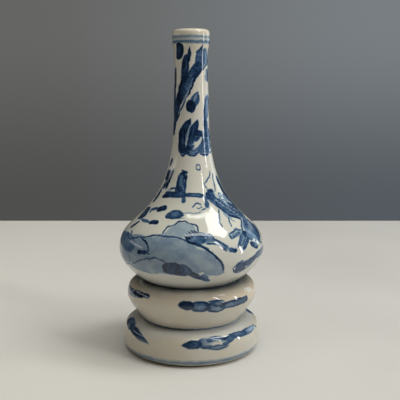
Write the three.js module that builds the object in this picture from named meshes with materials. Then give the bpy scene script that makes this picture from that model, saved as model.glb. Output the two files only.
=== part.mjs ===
// A small porcelain triple-gourd vase: three bulbs stacked on one axis, each closed in to a waist,
// under a long neck with a rolled lip. It is thrown and joined as one hollow piece, with a turned
// foot ring below. Units are millimetres, +Z is up, and the origin is at the middle of the foot.
import * as THREE from "three";

// Foot bulb, the lowest and flattest of the three.
const footRadius = 32.0;
const footBulbRadius = 37.1;
const footBulbWidestAt = 6.6;
const footBulbHeight = 16.8;
const footBulbUnderOverrun = 0.8;
const footBulbUnderPower = 3.1;
const footBulbTopPower = 3.8;

// Waist between the foot bulb and the middle bulb.
const lowerWaistRadius = 26.1;

// Middle bulb, a short ring that leans out towards its top.
const middleBulbRadius = 34.9;
const middleBulbWidestAt = 13.2;
const middleBulbHeight = 21.8;
const middleBulbUnderOverrun = 37.0;
const middleBulbUnderPower = 1.3;
const middleBulbTopPower = 2.8;

// Waist between the middle bulb and the upper bulb.
const upperWaistRadius = 25.6;

// Upper bulb, which draws out into the shoulder.
const upperBulbRadius = 38.9;
const upperBulbWidestAt = 17.1;
const upperBulbUnderOverrun = 37.6;
const upperBulbUnderPower = 2.0;

// Shoulder, an S-curve from the upper bulb's widest ring to the root of the neck.
const shoulderHeight = 71.8;
const shoulderFullness = 20.5;
const shoulderSweep = 59.4;

// Neck, from its root to its narrowest ring and then out to the lip.
const neckRootRadius = 9.35;
const neckRadius = 8.65;
const neckHeight = 28.6;
const neckStartStraightness = 9.5;
const neckEndStraightness = 12.0;
const lipFlareHeight = 8.7;
const lipFlareStraightness = 5.2;
const lipFlareSettling = 3.5;

// Walls, measured square to the outside, and the floor of the hollow.
const bodyWall = 3.2;
const neckWall = 2.4;
const baseThickness = 3.4;

// Lip, a rolled edge that is thicker than the neck's wall. Its bore is the neck's.
const lipThickness = 3.5;
const lipHeight = 5.2;
const lipOuterRound = 2.1;

// Foot ring, the unglazed edge that the vase stands on.
const footRingWidth = 4.0;
const footRingDepth = 2.4;
const footRecessTaper = 0.8;

// How closely the faceted solid follows its curves.
const sidesAround = 48;
const profileTolerance = 0.18;
const curveSteps = 160;
const cornerSteps = 12;
const cavityStep = 0.4;
const shortestEdge = 0.04;

// Heights that follow from the sizes above.
const lowerWaistHeight = footBulbHeight;
const upperWaistHeight = lowerWaistHeight + middleBulbHeight;
const bellyHeight = upperWaistHeight + upperBulbWidestAt;
const neckRootHeight = bellyHeight + shoulderHeight;
const neckHeightTop = neckRootHeight + neckHeight;
const lipBaseHeight = neckHeightTop + lipFlareHeight;
const overallHeight = lipBaseHeight + lipHeight;
const cavityFloorHeight = footRingDepth + baseThickness;

// Radii that follow from them.
const boreRadius = neckRadius - neckWall;
const lipRadius = boreRadius + lipThickness;
const crownRadius = lipRadius - lipOuterRound;

// A point of the profile: its distance from the axis, and its height.
const at = (radius, height) => new THREE.Vector2(radius, height);

// Part of a superellipse, from a bulb's widest ring to the ring where the bulb ends. The full curve
// would run on past that end by the overrun, and a higher power makes it squarer.
function bulge(widest, end, overrun, power) {
  const rise = Math.abs(end.y - widest.y);
  const span = rise + overrun;
  const share = rise / span;
  const closing = Math.pow(1 - Math.pow(share, power), 1 / power);
  const centre = (end.x - widest.x * closing) / (1 - closing);
  const turn = Math.asin(Math.pow(share, power / 2));
  const side = Math.sign(end.y - widest.y);
  const points = [];
  for (let i = 0; i <= curveSteps; i++) {
    const angle = (turn * i) / curveSteps;
    const out = Math.pow(Math.max(Math.cos(angle), 0), 2 / power);
    const up = Math.pow(Math.sin(angle), 2 / power);
    points.push(at(centre + (widest.x - centre) * out, widest.y + side * span * up));
  }
  return points;
}

// A cubic curve that leaves each of its ends straight up or down, by the given lengths.
function sweep(start, end, startLength, endLength) {
  return new THREE.CubicBezierCurve(
    start,
    at(start.x, start.y + startLength),
    at(end.x, end.y - endLength),
    end,
  ).getPoints(curveSteps);
}

// A quarter of an ellipse from one ring to another, round the corner between them.
function quarterRound(start, end, leavesUpright) {
  const points = [];
  for (let i = 0; i <= cornerSteps; i++) {
    const angle = (Math.PI / 2) * (i / cornerSteps);
    const along = leavesUpright ? 1 - Math.cos(angle) : Math.sin(angle);
    const up = leavesUpright ? Math.sin(angle) : 1 - Math.cos(angle);
    points.push(at(start.x + (end.x - start.x) * along, start.y + (end.y - start.y) * up));
  }
  return points;
}

// Leaves out the points of a line that lie within the tolerance of the line without them.
function simplified(points, tolerance) {
  if (points.length < 3) return points;
  const [first, last] = [points[0], points[points.length - 1]];
  const chord = last.clone().sub(first);
  const length = Math.max(chord.length(), Number.EPSILON);
  let furthest = 0;
  let distance = 0;
  points.forEach((point, index) => {
    const offset = Math.abs(chord.cross(point.clone().sub(first))) / length;
    if (offset > distance) [furthest, distance] = [index, offset];
  });
  if (distance <= tolerance) return [first, last];
  const before = simplified(points.slice(0, furthest + 1), tolerance);
  return [...before.slice(0, -1), ...simplified(points.slice(furthest), tolerance)];
}

// The outside, as one line of points for each curve, from the foot up to the lip.
function outsideCurves() {
  const foot = at(footRadius, 0);
  const footBulb = at(footBulbRadius, footBulbWidestAt);
  const lowerWaist = at(lowerWaistRadius, lowerWaistHeight);
  const middleBulb = at(middleBulbRadius, lowerWaistHeight + middleBulbWidestAt);
  const upperWaist = at(upperWaistRadius, upperWaistHeight);
  const belly = at(upperBulbRadius, bellyHeight);
  const neckRoot = at(neckRootRadius, neckRootHeight);
  const neckTop = at(neckRadius, neckHeightTop);
  const lipBase = at(lipRadius, lipBaseHeight);
  const lipEdge = at(lipRadius, overallHeight - lipOuterRound);
  const crown = at(crownRadius, overallHeight);
  return [
    bulge(footBulb, foot, footBulbUnderOverrun, footBulbUnderPower).reverse(),
    bulge(footBulb, lowerWaist, 0, footBulbTopPower),
    bulge(middleBulb, lowerWaist, middleBulbUnderOverrun, middleBulbUnderPower).reverse(),
    bulge(middleBulb, upperWaist, 0, middleBulbTopPower),
    bulge(belly, upperWaist, upperBulbUnderOverrun, upperBulbUnderPower).reverse(),
    sweep(belly, neckRoot, shoulderFullness, shoulderSweep),
    sweep(neckRoot, neckTop, neckStartStraightness, neckEndStraightness),
    sweep(neckTop, lipBase, lipFlareStraightness, lipFlareSettling),
    [lipBase, lipEdge],
    quarterRound(lipEdge, crown, true),
  ];
}

// The wall thins from the body's to the neck's between the belly and the neck's root.
function wallAt(height) {
  return THREE.MathUtils.lerp(
    bodyWall,
    neckWall,
    THREE.MathUtils.smoothstep(height, bellyHeight, neckRootHeight),
  );
}

// The radius of the hollow at a height: as far out as it can be with a whole wall all round it.
function hollowRadius(height, outside) {
  let radius = Infinity;
  for (const point of outside) {
    const wall = wallAt(point.y);
    const rise = Math.abs(point.y - height);
    if (rise < wall) radius = Math.min(radius, point.x - Math.sqrt(wall * wall - rise * rise));
  }
  return radius;
}

// The inside, from the crown of the lip down to the floor of the hollow.
function insideCurves(outside) {
  const crown = at(crownRadius, overallHeight);
  const boreTop = at(boreRadius, overallHeight - (crownRadius - boreRadius));
  const hollow = [boreTop];
  for (let height = neckHeightTop; height > cavityFloorHeight; height -= cavityStep) {
    hollow.push(at(hollowRadius(height, outside), height));
  }
  hollow.push(at(hollowRadius(cavityFloorHeight, outside), cavityFloorHeight));
  return [quarterRound(crown, boreTop, false), hollow];
}

// The underside: the recessed base and the ring round it.
function undersideLine() {
  const ringInside = footRadius - footRingWidth;
  return [at(0, footRingDepth), at(ringInside - footRecessTaper, footRingDepth), at(ringInside, 0)];
}

// The whole closed profile, from the axis under the base, up the outside and down the inside.
function vaseProfile() {
  const outside = outsideCurves();
  const lines = [undersideLine(), ...outside, ...insideCurves(outside.flat())];
  const points = lines.flatMap((line) => simplified(line, profileTolerance));
  points.push(at(0, cavityFloorHeight));
  return points.filter((point, i) => i === 0 || point.distanceTo(points[i - 1]) > shortestEdge);
}

const glaze = new THREE.MeshStandardMaterial({ color: 0xd9d5c8, roughness: 0.12, metalness: 0 });

const vase = new THREE.Mesh(new THREE.LatheGeometry(vaseProfile(), sidesAround), glaze);
vase.name = "vase";
vase.rotation.x = Math.PI / 2;

const group = new THREE.Group();
group.add(vase);

export default group;
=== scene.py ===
"""A small triple-gourd vase in blue and white porcelain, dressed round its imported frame.

The vase is one piece. Its wall is spun from the same profile as the frame's solid, only finer, and
its cobalt painting is a set of brush strokes that the glaze's material works out on the wall.
Sizes are in millimetres here and become metres when a mesh is made.
"""

from __future__ import annotations

import bisect
import logging
import math
from collections.abc import Sequence
from dataclasses import dataclass, field
from enum import Enum

import bmesh
import bpy
from mathutils import Matrix, Vector

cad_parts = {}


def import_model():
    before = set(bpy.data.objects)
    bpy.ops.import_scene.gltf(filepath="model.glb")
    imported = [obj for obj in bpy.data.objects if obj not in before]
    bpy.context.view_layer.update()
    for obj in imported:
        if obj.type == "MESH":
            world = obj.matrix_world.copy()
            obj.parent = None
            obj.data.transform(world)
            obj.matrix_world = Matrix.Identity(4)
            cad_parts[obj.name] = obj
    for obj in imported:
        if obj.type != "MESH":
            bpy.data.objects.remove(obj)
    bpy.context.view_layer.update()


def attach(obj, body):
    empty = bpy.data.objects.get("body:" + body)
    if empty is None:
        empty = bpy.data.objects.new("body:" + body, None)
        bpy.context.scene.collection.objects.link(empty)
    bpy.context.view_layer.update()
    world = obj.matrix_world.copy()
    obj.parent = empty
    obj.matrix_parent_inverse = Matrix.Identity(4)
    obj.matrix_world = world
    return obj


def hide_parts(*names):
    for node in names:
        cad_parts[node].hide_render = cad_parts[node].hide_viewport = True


LOG = logging.getLogger("vase")
MM = 0.001
BODY = "root"
# The UV map that holds the painting's flat sheet
SHEET_MAP = "Painting"

Point = tuple[float, float]
Colour = tuple[float, float, float, float]


def shade(red: float, green: float, blue: float) -> Colour:
    """Turns a colour as it is picked on a screen, 0 to 255, into the linear one that nodes take.

    Args:
        red: Screen red.
        green: Screen green.
        blue: Screen blue.

    Returns:
        The linear colour, with an alpha of one.
    """
    full, knee, slope, offset, power = 255.0, 0.04045, 12.92, 0.055, 2.4

    def linear(channel: float) -> float:
        """Turns one channel linear."""
        share = channel / full
        return share / slope if share <= knee else ((share + offset) / (1 + offset)) ** power

    return linear(red), linear(green), linear(blue), 1.0


class Graph:
    """A node tree that is being wired up."""

    def __init__(self, tree: bpy.types.NodeTree) -> None:
        """Keeps the tree.

        Args:
            tree: The tree that gets the nodes.
        """
        self.tree = tree

    def node(self, kind: str, settings: dict | None = None, sockets: dict | None = None) -> bpy.types.Node:
        """Adds one node.

        Args:
            kind: The node's type.
            settings: The node's own settings, set first. "stops" fills a colour ramp.
            sockets: The value or the wire for each input, by name or by place.

        Returns:
            The node.
        """
        made = self.tree.nodes.new(kind)
        for name, setting in (settings or {}).items():
            if name == "stops":
                self._fill_ramp(made, setting)
            else:
                setattr(made, name, setting)
        for key, feed in (sockets or {}).items():
            if isinstance(feed, Wire):
                self.tree.links.new(feed.socket, made.inputs[key])
            else:
                made.inputs[key].default_value = feed
        return made

    def wire(
        self, kind: str, settings: dict | None = None, sockets: dict | None = None, out: int | str = 0
    ) -> Wire:
        """Adds one node and takes one of its outputs.

        Args:
            kind: The node's type.
            settings: The node's own settings.
            sockets: The value or the wire for each input.
            out: The output, by place or by name.

        Returns:
            The output, ready for more maths.
        """
        return Wire(self, self.node(kind, settings, sockets).outputs[out])

    def mix(self, factor: Feed, first: Feed, second: Feed, blend: str = "MIX") -> Wire:
        """Mixes two colours.

        Args:
            factor: How much of the second shows.
            first: The colour at nought.
            second: The colour at one.
            blend: The way they blend.

        Returns:
            The mixed colour.
        """
        settings = {"data_type": "RGBA", "blend_type": blend}
        return self.wire("ShaderNodeMix", settings, {0: factor, 6: first, 7: second}, 2)

    def split(self, vector: Wire) -> tuple[Wire, ...]:
        """Takes a vector apart into its three coordinates."""
        parts = self.node("ShaderNodeSeparateXYZ", {}, {0: vector})
        return tuple(Wire(self, part) for part in parts.outputs)

    def joined(self, *coordinates: Feed) -> Wire:
        """Makes a vector from its coordinates."""
        return self.wire("ShaderNodeCombineXYZ", {}, dict(enumerate(coordinates)))

    def place(self) -> Wire:
        """Takes the place on the object, in metres."""
        return self.wire("ShaderNodeTexCoord", {}, {}, "Object")

    def bump(self, height: Wire, strength: float, depth: float) -> Wire:
        """Turns a height into a normal.

        Args:
            height: The height, from nought to one.
            strength: How much of the slope shows.
            depth: What a height of one stands for, in mm.

        Returns:
            The normal.
        """
        sockets = {"Strength": strength, "Distance": depth * MM, "Height": height}
        return self.wire("ShaderNodeBump", {}, sockets)

    def surface(self, sockets: dict[str, Feed]) -> None:
        """Ends a material's tree with its shader and its output."""
        shader = self.wire("ShaderNodeBsdfPrincipled", {}, sockets)
        self.node("ShaderNodeOutputMaterial", {}, {0: shader})

    def _fill_ramp(self, node: bpy.types.Node, stops: Sequence[tuple[float, Colour]]) -> None:
        """Fills a colour ramp.

        Args:
            node: The ramp's node.
            stops: Each stop's place and its colour.
        """
        elements = node.color_ramp.elements
        while len(elements) < len(stops):
            elements.new(1.0)
        for element, (place, colour) in zip(elements, stops):
            element.position = place
            element.color = colour


class Wire:
    """A node's output that Python's operators work on. Vectors go through Vector Math."""

    def __init__(self, graph: Graph, socket: bpy.types.NodeSocket) -> None:
        """Keeps the socket.

        Args:
            graph: The tree that the socket is in.
            socket: The output.
        """
        self.graph = graph
        self.socket = socket

    def maths(self, operation: str, *others: Feed, swap: bool = False) -> Wire:
        """Adds a Math or a Vector Math node.

        Args:
            operation: The node's operation.
            others: The operands after this one.
            swap: Puts this operand second.

        Returns:
            The result.
        """
        feeds = [self, *others]
        if swap:
            feeds[0], feeds[1] = feeds[1], feeds[0]
        sockets = dict(enumerate(feeds))
        kind = "ShaderNodeVectorMath" if self.socket.type in {"VECTOR", "RGBA"} else "ShaderNodeMath"
        return self.graph.wire(kind, {"operation": operation}, sockets)

    def __add__(self, other: Feed) -> Wire:
        """Adds."""
        return self.maths("ADD", other)

    def __sub__(self, other: Feed) -> Wire:
        """Takes away."""
        return self.maths("SUBTRACT", other)

    def __rsub__(self, other: Feed) -> Wire:
        """Is taken away from a number."""
        return self.maths("SUBTRACT", other, swap=True)

    def __mul__(self, other: Feed) -> Wire:
        """Multiplies."""
        return self.maths("MULTIPLY", other)

    def __truediv__(self, other: Feed) -> Wire:
        """Divides."""
        return self.maths("DIVIDE", other)

    def __abs__(self) -> Wire:
        """Drops the sign."""
        return self.maths("ABSOLUTE")

    def times_plus(self, factor: Feed, addend: Feed) -> Wire:
        """Multiplies by one operand and adds another."""
        return self.maths("MULTIPLY_ADD", factor, addend)

    def scaled(self, factor: Feed) -> Wire:
        """Multiplies a vector by one number."""
        settings = {"operation": "SCALE"}
        return self.graph.wire("ShaderNodeVectorMath", settings, {0: self, 3: factor})

    def least(self, other: Feed) -> Wire:
        """Takes the smaller."""
        return self.maths("MINIMUM", other)

    def most(self, other: Feed) -> Wire:
        """Takes the larger."""
        return self.maths("MAXIMUM", other)

    def between(self, low: float, high: float) -> Wire:
        """Says how far a value has come from one number to another, softly at both ends."""
        settings = {"interpolation_type": "SMOOTHSTEP"}
        return self.graph.wire("ShaderNodeMapRange", settings, {0: self, 1: low, 2: high})


Feed = Wire | float | Sequence[float]


def empty_material(name: str) -> tuple[bpy.types.Material, Graph]:
    """Makes a material with no nodes in it.

    Args:
        name: The material's name.

    Returns:
        The material, and its tree.
    """
    made = bpy.data.materials.new(name)
    made.use_nodes = True
    made.node_tree.nodes.clear()
    return made, Graph(made.node_tree)


def in_scene(name: str, data: bpy.types.ID) -> bpy.types.Object:
    """Makes an object and puts it in the scene.

    Args:
        name: The object's name.
        data: Its mesh, lamp or camera.

    Returns:
        The object, at the origin.
    """
    made = bpy.data.objects.new(name, data)
    bpy.context.scene.collection.objects.link(made)
    return made


@dataclass(frozen=True)
class ProfilePoint:
    """A point of the vase's section.

    Attributes:
        radius: Distance from the axis.
        height: Height above the foot.
        run: Length along the section from the outer edge of the foot. It grows up the outside and
            down the inside, and is below nought on the underside.
    """

    radius: float
    height: float
    run: float

    def to(self, other: ProfilePoint) -> float:
        """Says how far it is to another point."""
        return math.hypot(other.radius - self.radius, other.height - self.height)


@dataclass
class VaseShape:
    """The vase's section, from the same sizes and curves as the frame's solid.

    An overrun is how far past its last ring a bulb's full curve would run, a power is how square that
    curve is, and a straightness is how long a curve keeps upright at one of its ends.

    Attributes:
        curve_steps: The steps of a drawn curve.
        corner_steps: The steps of a rounded corner.
        hollow_step: How far apart the hollow's rings are drawn.
        softening: How far the glaze rounds a crease.
        even_step: How far apart the points are before the section is thinned.
        longest_facet: The longest step of the thinned section.
        most_turn: How far the thinned section turns in one step.
    """

    foot_radius: float = 32.0
    foot_bulb_radius: float = 37.1
    foot_bulb_widest_at: float = 6.6
    foot_bulb_height: float = 16.8
    foot_bulb_under_overrun: float = 0.8
    foot_bulb_under_power: float = 3.1
    foot_bulb_top_power: float = 3.8
    lower_waist_radius: float = 26.1
    middle_bulb_radius: float = 34.9
    middle_bulb_widest_at: float = 13.2
    middle_bulb_height: float = 21.8
    middle_bulb_under_overrun: float = 37.0
    middle_bulb_under_power: float = 1.3
    middle_bulb_top_power: float = 2.8
    upper_waist_radius: float = 25.6
    upper_bulb_radius: float = 38.9
    upper_bulb_widest_at: float = 17.1
    upper_bulb_under_overrun: float = 37.6
    upper_bulb_under_power: float = 2.0
    shoulder_height: float = 71.8
    shoulder_fullness: float = 20.5
    shoulder_sweep: float = 59.4
    neck_root_radius: float = 9.35
    neck_radius: float = 8.65
    neck_height: float = 28.6
    neck_start_straightness: float = 9.5
    neck_end_straightness: float = 12.0
    lip_flare_height: float = 8.7
    lip_flare_straightness: float = 5.2
    lip_flare_settling: float = 3.5
    body_wall: float = 3.2
    neck_wall: float = 2.4
    base_thickness: float = 3.4
    lip_thickness: float = 3.5
    lip_height: float = 5.2
    lip_outer_round: float = 2.1
    foot_ring_width: float = 4.0
    foot_ring_depth: float = 2.4
    foot_recess_taper: float = 0.8
    curve_steps: int = 240
    corner_steps: int = 24
    hollow_step: float = 0.35
    softening: float = 0.42
    even_step: float = 0.15
    longest_facet: float = 1.35
    most_turn: float = math.radians(4.0)
    outside: list[ProfilePoint] = field(init=False)
    runs: list[float] = field(init=False)
    radii: list[float] = field(init=False)
    latitudes: list[float] = field(init=False)

    def __post_init__(self) -> None:
        """Works out the heights that follow from the sizes, then the outside line."""
        self.lower_waist_height = self.foot_bulb_height
        self.upper_waist_height = self.lower_waist_height + self.middle_bulb_height
        self.belly_height = self.upper_waist_height + self.upper_bulb_widest_at
        self.neck_root_height = self.belly_height + self.shoulder_height
        self.neck_top_height = self.neck_root_height + self.neck_height
        self.lip_base_height = self.neck_top_height + self.lip_flare_height
        self.overall_height = self.lip_base_height + self.lip_height
        self.floor_height = self.foot_ring_depth + self.base_thickness
        self.bore_radius = self.neck_radius - self.neck_wall
        self.lip_radius = self.bore_radius + self.lip_thickness
        self.crown_radius = self.lip_radius - self.lip_outer_round
        self.outside = self._measured(self._outside_line(), 0.0)
        self.runs = [point.run for point in self.outside]
        self.radii = [point.radius for point in self.outside]
        self.latitudes = [0.0]
        for last, point in zip(self.outside, self.outside[1:]):
            mean = (last.radius + point.radius) / 2
            self.latitudes.append(self.latitudes[-1] + (point.run - last.run) / mean)

    def _bulge(self, widest: Point, end: Point, overrun: float, power: float) -> list[Point]:
        """Draws part of a superellipse, from a bulb's widest ring to the ring where the bulb ends.

        Args:
            widest: Radius and height of the widest ring.
            end: Radius and height of the ring where the bulb ends.
            overrun: How far past that end the full curve would run.
            power: How square the curve is.

        Returns:
            The curve's points.
        """
        rise = abs(end[1] - widest[1])
        span = rise + overrun
        share = rise / span
        closing = (1 - share**power) ** (1 / power)
        centre = (end[0] - widest[0] * closing) / (1 - closing)
        turn = math.asin(share ** (power / 2))
        side = math.copysign(1.0, end[1] - widest[1])
        points = []
        for step in range(self.curve_steps + 1):
            angle = turn * step / self.curve_steps
            out = max(math.cos(angle), 0.0) ** (2 / power)
            up = math.sin(angle) ** (2 / power)
            points.append((centre + (widest[0] - centre) * out, widest[1] + side * span * up))
        return points

    def _sweep(self, start: Point, end: Point, start_length: float, end_length: float) -> list[Point]:
        """Draws a cubic curve that leaves both of its ends straight up or down.

        Args:
            start: Radius and height of the lower end.
            end: Radius and height of the upper end.
            start_length: How long it keeps straight at the lower end.
            end_length: How long it keeps straight at the upper end.

        Returns:
            The curve's points.
        """
        lows, highs = (start[1], start[1] + start_length), (end[1] - end_length, end[1])
        points = []
        for step in range(self.curve_steps + 1):
            share = step / self.curve_steps
            rest = 1 - share
            weights = (rest**3, 3 * rest**2 * share, 3 * rest * share**2, share**3)
            radius = start[0] * (weights[0] + weights[1]) + end[0] * (weights[2] + weights[3])
            height = sum(weight * value for weight, value in zip(weights, (*lows, *highs)))
            points.append((radius, height))
        return points

    def _quarter(self, start: Point, end: Point, leaves_upright: bool) -> list[Point]:
        """Draws a quarter of an ellipse round a corner.

        Args:
            start: Where it starts.
            end: Where it ends.
            leaves_upright: Whether it starts straight up rather than level.

        Returns:
            The curve's points.
        """
        points = []
        for step in range(self.corner_steps + 1):
            angle = math.pi / 2 * step / self.corner_steps
            along = 1 - math.cos(angle) if leaves_upright else math.sin(angle)
            up = math.sin(angle) if leaves_upright else 1 - math.cos(angle)
            points.append((start[0] + (end[0] - start[0]) * along, start[1] + (end[1] - start[1]) * up))
        return points

    def _outside_line(self) -> list[Point]:
        """Draws the outside, from the foot up to the crown of the lip.

        Returns:
            Radii and heights.
        """
        foot = (self.foot_radius, 0.0)
        foot_bulb = (self.foot_bulb_radius, self.foot_bulb_widest_at)
        lower_waist = (self.lower_waist_radius, self.lower_waist_height)
        middle_bulb = (self.middle_bulb_radius, self.lower_waist_height + self.middle_bulb_widest_at)
        upper_waist = (self.upper_waist_radius, self.upper_waist_height)
        belly = (self.upper_bulb_radius, self.belly_height)
        neck_root = (self.neck_root_radius, self.neck_root_height)
        neck_top = (self.neck_radius, self.neck_top_height)
        lip_base = (self.lip_radius, self.lip_base_height)
        lip_edge = (self.lip_radius, self.overall_height - self.lip_outer_round)
        crown = (self.crown_radius, self.overall_height)
        under, top = self.foot_bulb_under_power, self.foot_bulb_top_power
        middle_under, middle_top = self.middle_bulb_under_power, self.middle_bulb_top_power
        curves = [
            self._bulge(foot_bulb, foot, self.foot_bulb_under_overrun, under)[::-1],
            self._bulge(foot_bulb, lower_waist, 0.0, top),
            self._bulge(middle_bulb, lower_waist, self.middle_bulb_under_overrun, middle_under)[::-1],
            self._bulge(middle_bulb, upper_waist, 0.0, middle_top),
            self._bulge(belly, upper_waist, self.upper_bulb_under_overrun, self.upper_bulb_under_power)[::-1],
            self._sweep(belly, neck_root, self.shoulder_fullness, self.shoulder_sweep),
            self._sweep(neck_root, neck_top, self.neck_start_straightness, self.neck_end_straightness),
            self._sweep(neck_top, lip_base, self.lip_flare_straightness, self.lip_flare_settling),
            [lip_base, lip_edge],
            self._quarter(lip_edge, crown, True),
        ]
        return [point for curve in curves for point in curve]

    def _hollow_radius(self, height: float) -> float:
        """Says how wide the hollow is, with a whole wall all round it.

        Args:
            height: The height that is asked about.

        Returns:
            The radius of the hollow there.
        """
        radius = math.inf
        for point in self.outside:
            rise = abs(point.height - height)
            if rise > self.body_wall:
                continue
            share = (point.height - self.belly_height) / (self.neck_root_height - self.belly_height)
            share = min(max(share, 0.0), 1.0)
            wall = self.body_wall + (self.neck_wall - self.body_wall) * share * share * (3 - 2 * share)
            if rise < wall:
                radius = min(radius, point.radius - math.sqrt(wall * wall - rise * rise))
        return radius

    def _inside_line(self) -> list[Point]:
        """Draws the inside, from the crown of the lip down to the axis on the floor of the hollow.

        Returns:
            Radii and heights.
        """
        crown = (self.crown_radius, self.overall_height)
        bore_top = (self.bore_radius, self.overall_height - (self.crown_radius - self.bore_radius))
        points = self._quarter(crown, bore_top, False)
        height = self.neck_top_height
        while height > self.floor_height:
            points.append((self._hollow_radius(height), height))
            height -= self.hollow_step
        points.append((self._hollow_radius(self.floor_height), self.floor_height))
        points.append((0.0, self.floor_height))
        return points

    def _under_line(self) -> list[Point]:
        """Draws the underside, from the axis out to the foot.

        Returns:
            Radii and heights.
        """
        ring_inside = self.foot_radius - self.foot_ring_width
        recess_edge = (ring_inside - self.foot_recess_taper, self.foot_ring_depth)
        return [(0.0, self.foot_ring_depth), recess_edge, (ring_inside, 0.0), (self.foot_radius, 0.0)]

    def _measured(self, line: Sequence[Point], start: float) -> list[ProfilePoint]:
        """Gives the points of a line their run, and leaves out doubled points.

        Args:
            line: Radii and heights.
            start: The run of the first point.

        Returns:
            The line's points.
        """
        nearest = 1e-6
        points = [ProfilePoint(*line[0], start)]
        for radius, height in line[1:]:
            point = ProfilePoint(radius, height, 0.0)
            gap = points[-1].to(point)
            if gap > nearest:
                points.append(ProfilePoint(radius, height, points[-1].run + gap))
        return points

    def _evened(self, line: Sequence[ProfilePoint]) -> list[ProfilePoint]:
        """Places points along a line at even steps.

        Args:
            line: The line as it was drawn.

        Returns:
            The same line with even steps.
        """
        runs = [point.run for point in line]
        count = int((runs[-1] - runs[0]) / self.even_step)
        points = []
        for step in range(count + 1):
            run = runs[0] + (runs[-1] - runs[0]) * step / count
            place = min(max(bisect.bisect_right(runs, run), 1), len(runs) - 1)
            low, high = line[place - 1], line[place]
            share = (run - low.run) / (high.run - low.run)
            radius = low.radius + (high.radius - low.radius) * share
            height = low.height + (high.height - low.height) * share
            points.append(ProfilePoint(radius, height, run))
        return points

    def _softened(self, line: Sequence[ProfilePoint]) -> list[ProfilePoint]:
        """Rounds the creases of an evened line, as glaze does.

        Args:
            line: The line, in even steps.

        Returns:
            The softened line. Its ends stay where they are.
        """
        spreads = 3
        reach = int(spreads * self.softening / self.even_step)
        offsets = [k * self.even_step / self.softening for k in range(-reach, reach + 1)]
        weights = [math.exp(-0.5 * offset**2) for offset in offsets]
        total = sum(weights)
        points = list(line)
        for i in range(reach, len(line) - reach):
            near = line[i - reach : i + reach + 1]
            radius = sum(weight * point.radius for weight, point in zip(weights, near)) / total
            height = sum(weight * point.height for weight, point in zip(weights, near)) / total
            points[i] = ProfilePoint(radius, height, line[i].run)
        return points

    def _thinned(self, line: Sequence[ProfilePoint]) -> list[ProfilePoint]:
        """Keeps the points that a smooth wall needs: more of them where it turns.

        Args:
            line: The softened line.

        Returns:
            The points that are kept.
        """
        kept = [line[0]]
        turned = 0.0
        for last, point, following in zip(line, line[1:], line[2:]):
            before = math.atan2(point.height - last.height, point.radius - last.radius)
            after = math.atan2(following.height - point.height, following.radius - point.radius)
            turned += abs(math.remainder(after - before, math.tau))
            if turned >= self.most_turn or point.run - kept[-1].run >= self.longest_facet:
                kept.append(point)
                turned = 0.0
        kept.append(line[-1])
        return kept

    def section(self) -> list[ProfilePoint]:
        """Draws the whole section, from the axis under the base round to the axis on the hollow's floor.

        Returns:
            The section's points.
        """
        under = self._measured(self._under_line(), 0.0)
        under = [ProfilePoint(p.radius, p.height, p.run - under[-1].run) for p in under]
        inside = self._measured(self._inside_line(), self.outside[-1].run)
        line = under[:-1] + self.outside + inside[1:]
        return self._thinned(self._softened(self._evened(line)))

    def _between(self, run: float, values: Sequence[float]) -> float:
        """Reads a list of values that goes with the outside's points.

        Args:
            run: Length up the wall from the foot.
            values: A value for each point of the outside.

        Returns:
            The value at that length.
        """
        runs = self.runs
        place = min(max(bisect.bisect_right(runs, run), 1), len(runs) - 1)
        share = (run - runs[place - 1]) / (runs[place] - runs[place - 1])
        return values[place - 1] + (values[place] - values[place - 1]) * min(max(share, 0.0), 1.0)

    @property
    def top_run(self) -> float:
        """The length up the wall to the crown of the lip."""
        return self.runs[-1]

    def latitude(self, run: float) -> float:
        """Says how far up the painting's flat sheet a length up the wall lies."""
        return self._between(run, self.latitudes)

    def radius(self, run: float) -> float:
        """Says how far from the axis a length up the wall lies."""
        return self._between(run, self.radii)


class Tip(Enum):
    """The way a brush stroke ends."""

    POINTED = "pointed"
    ROUND = "round"
    BLUNT = "blunt"


@dataclass(frozen=True)
class Stroke:
    """One stroke of the brush. A place is degrees round from the front, and mm up the wall.

    Attributes:
        start: Where the stroke starts.
        end: Where it ends.
        width: Its width at the middle, in mm.
        bow: How far its middle bends to the left of the way from start to end, in mm.
        load: How much cobalt the brush leaves, from nought to one.
        tip: The way it ends.
        soft: How far its edge bleeds, in mm.
        thin: How much paler its middle is than its rim, from nought to one.
    """

    start: Point
    end: Point
    width: float
    bow: float = 0.0
    load: float = 0.92
    tip: Tip = Tip.BLUNT
    soft: float = 0.65
    thin: float = 0.16


def dab(
    start: Point, end: Point, width: float, bow: float = 0.0, load: float = 0.92, soft: float = 0.65
) -> Stroke:
    """Makes a stroke with blunt ends."""
    return Stroke(start, end, width, bow, load, Tip.BLUNT, soft)


def pull(
    start: Point, end: Point, width: float, bow: float = 0.0, load: float = 0.92, soft: float = 0.65
) -> Stroke:
    """Makes a stroke that is pulled out to a point at both ends."""
    return Stroke(start, end, width, bow, load, Tip.POINTED, soft)


def wash(
    start: Point, end: Point, width: float, bow: float = 0.0, load: float = 0.4, soft: float = 0.7
) -> Stroke:
    """Makes a broad, even stroke with blunt ends."""
    return Stroke(start, end, width, bow, load, Tip.BLUNT, soft, thin=0.0)


def lobe(
    start: Point, end: Point, width: float, bow: float = 0.0, load: float = 0.84, thin: float = 0.5
) -> Stroke:
    """Makes an oval that is darker round its rim."""
    return Stroke(start, end, width, bow, load, Tip.ROUND, soft=0.6, thin=thin)


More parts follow.
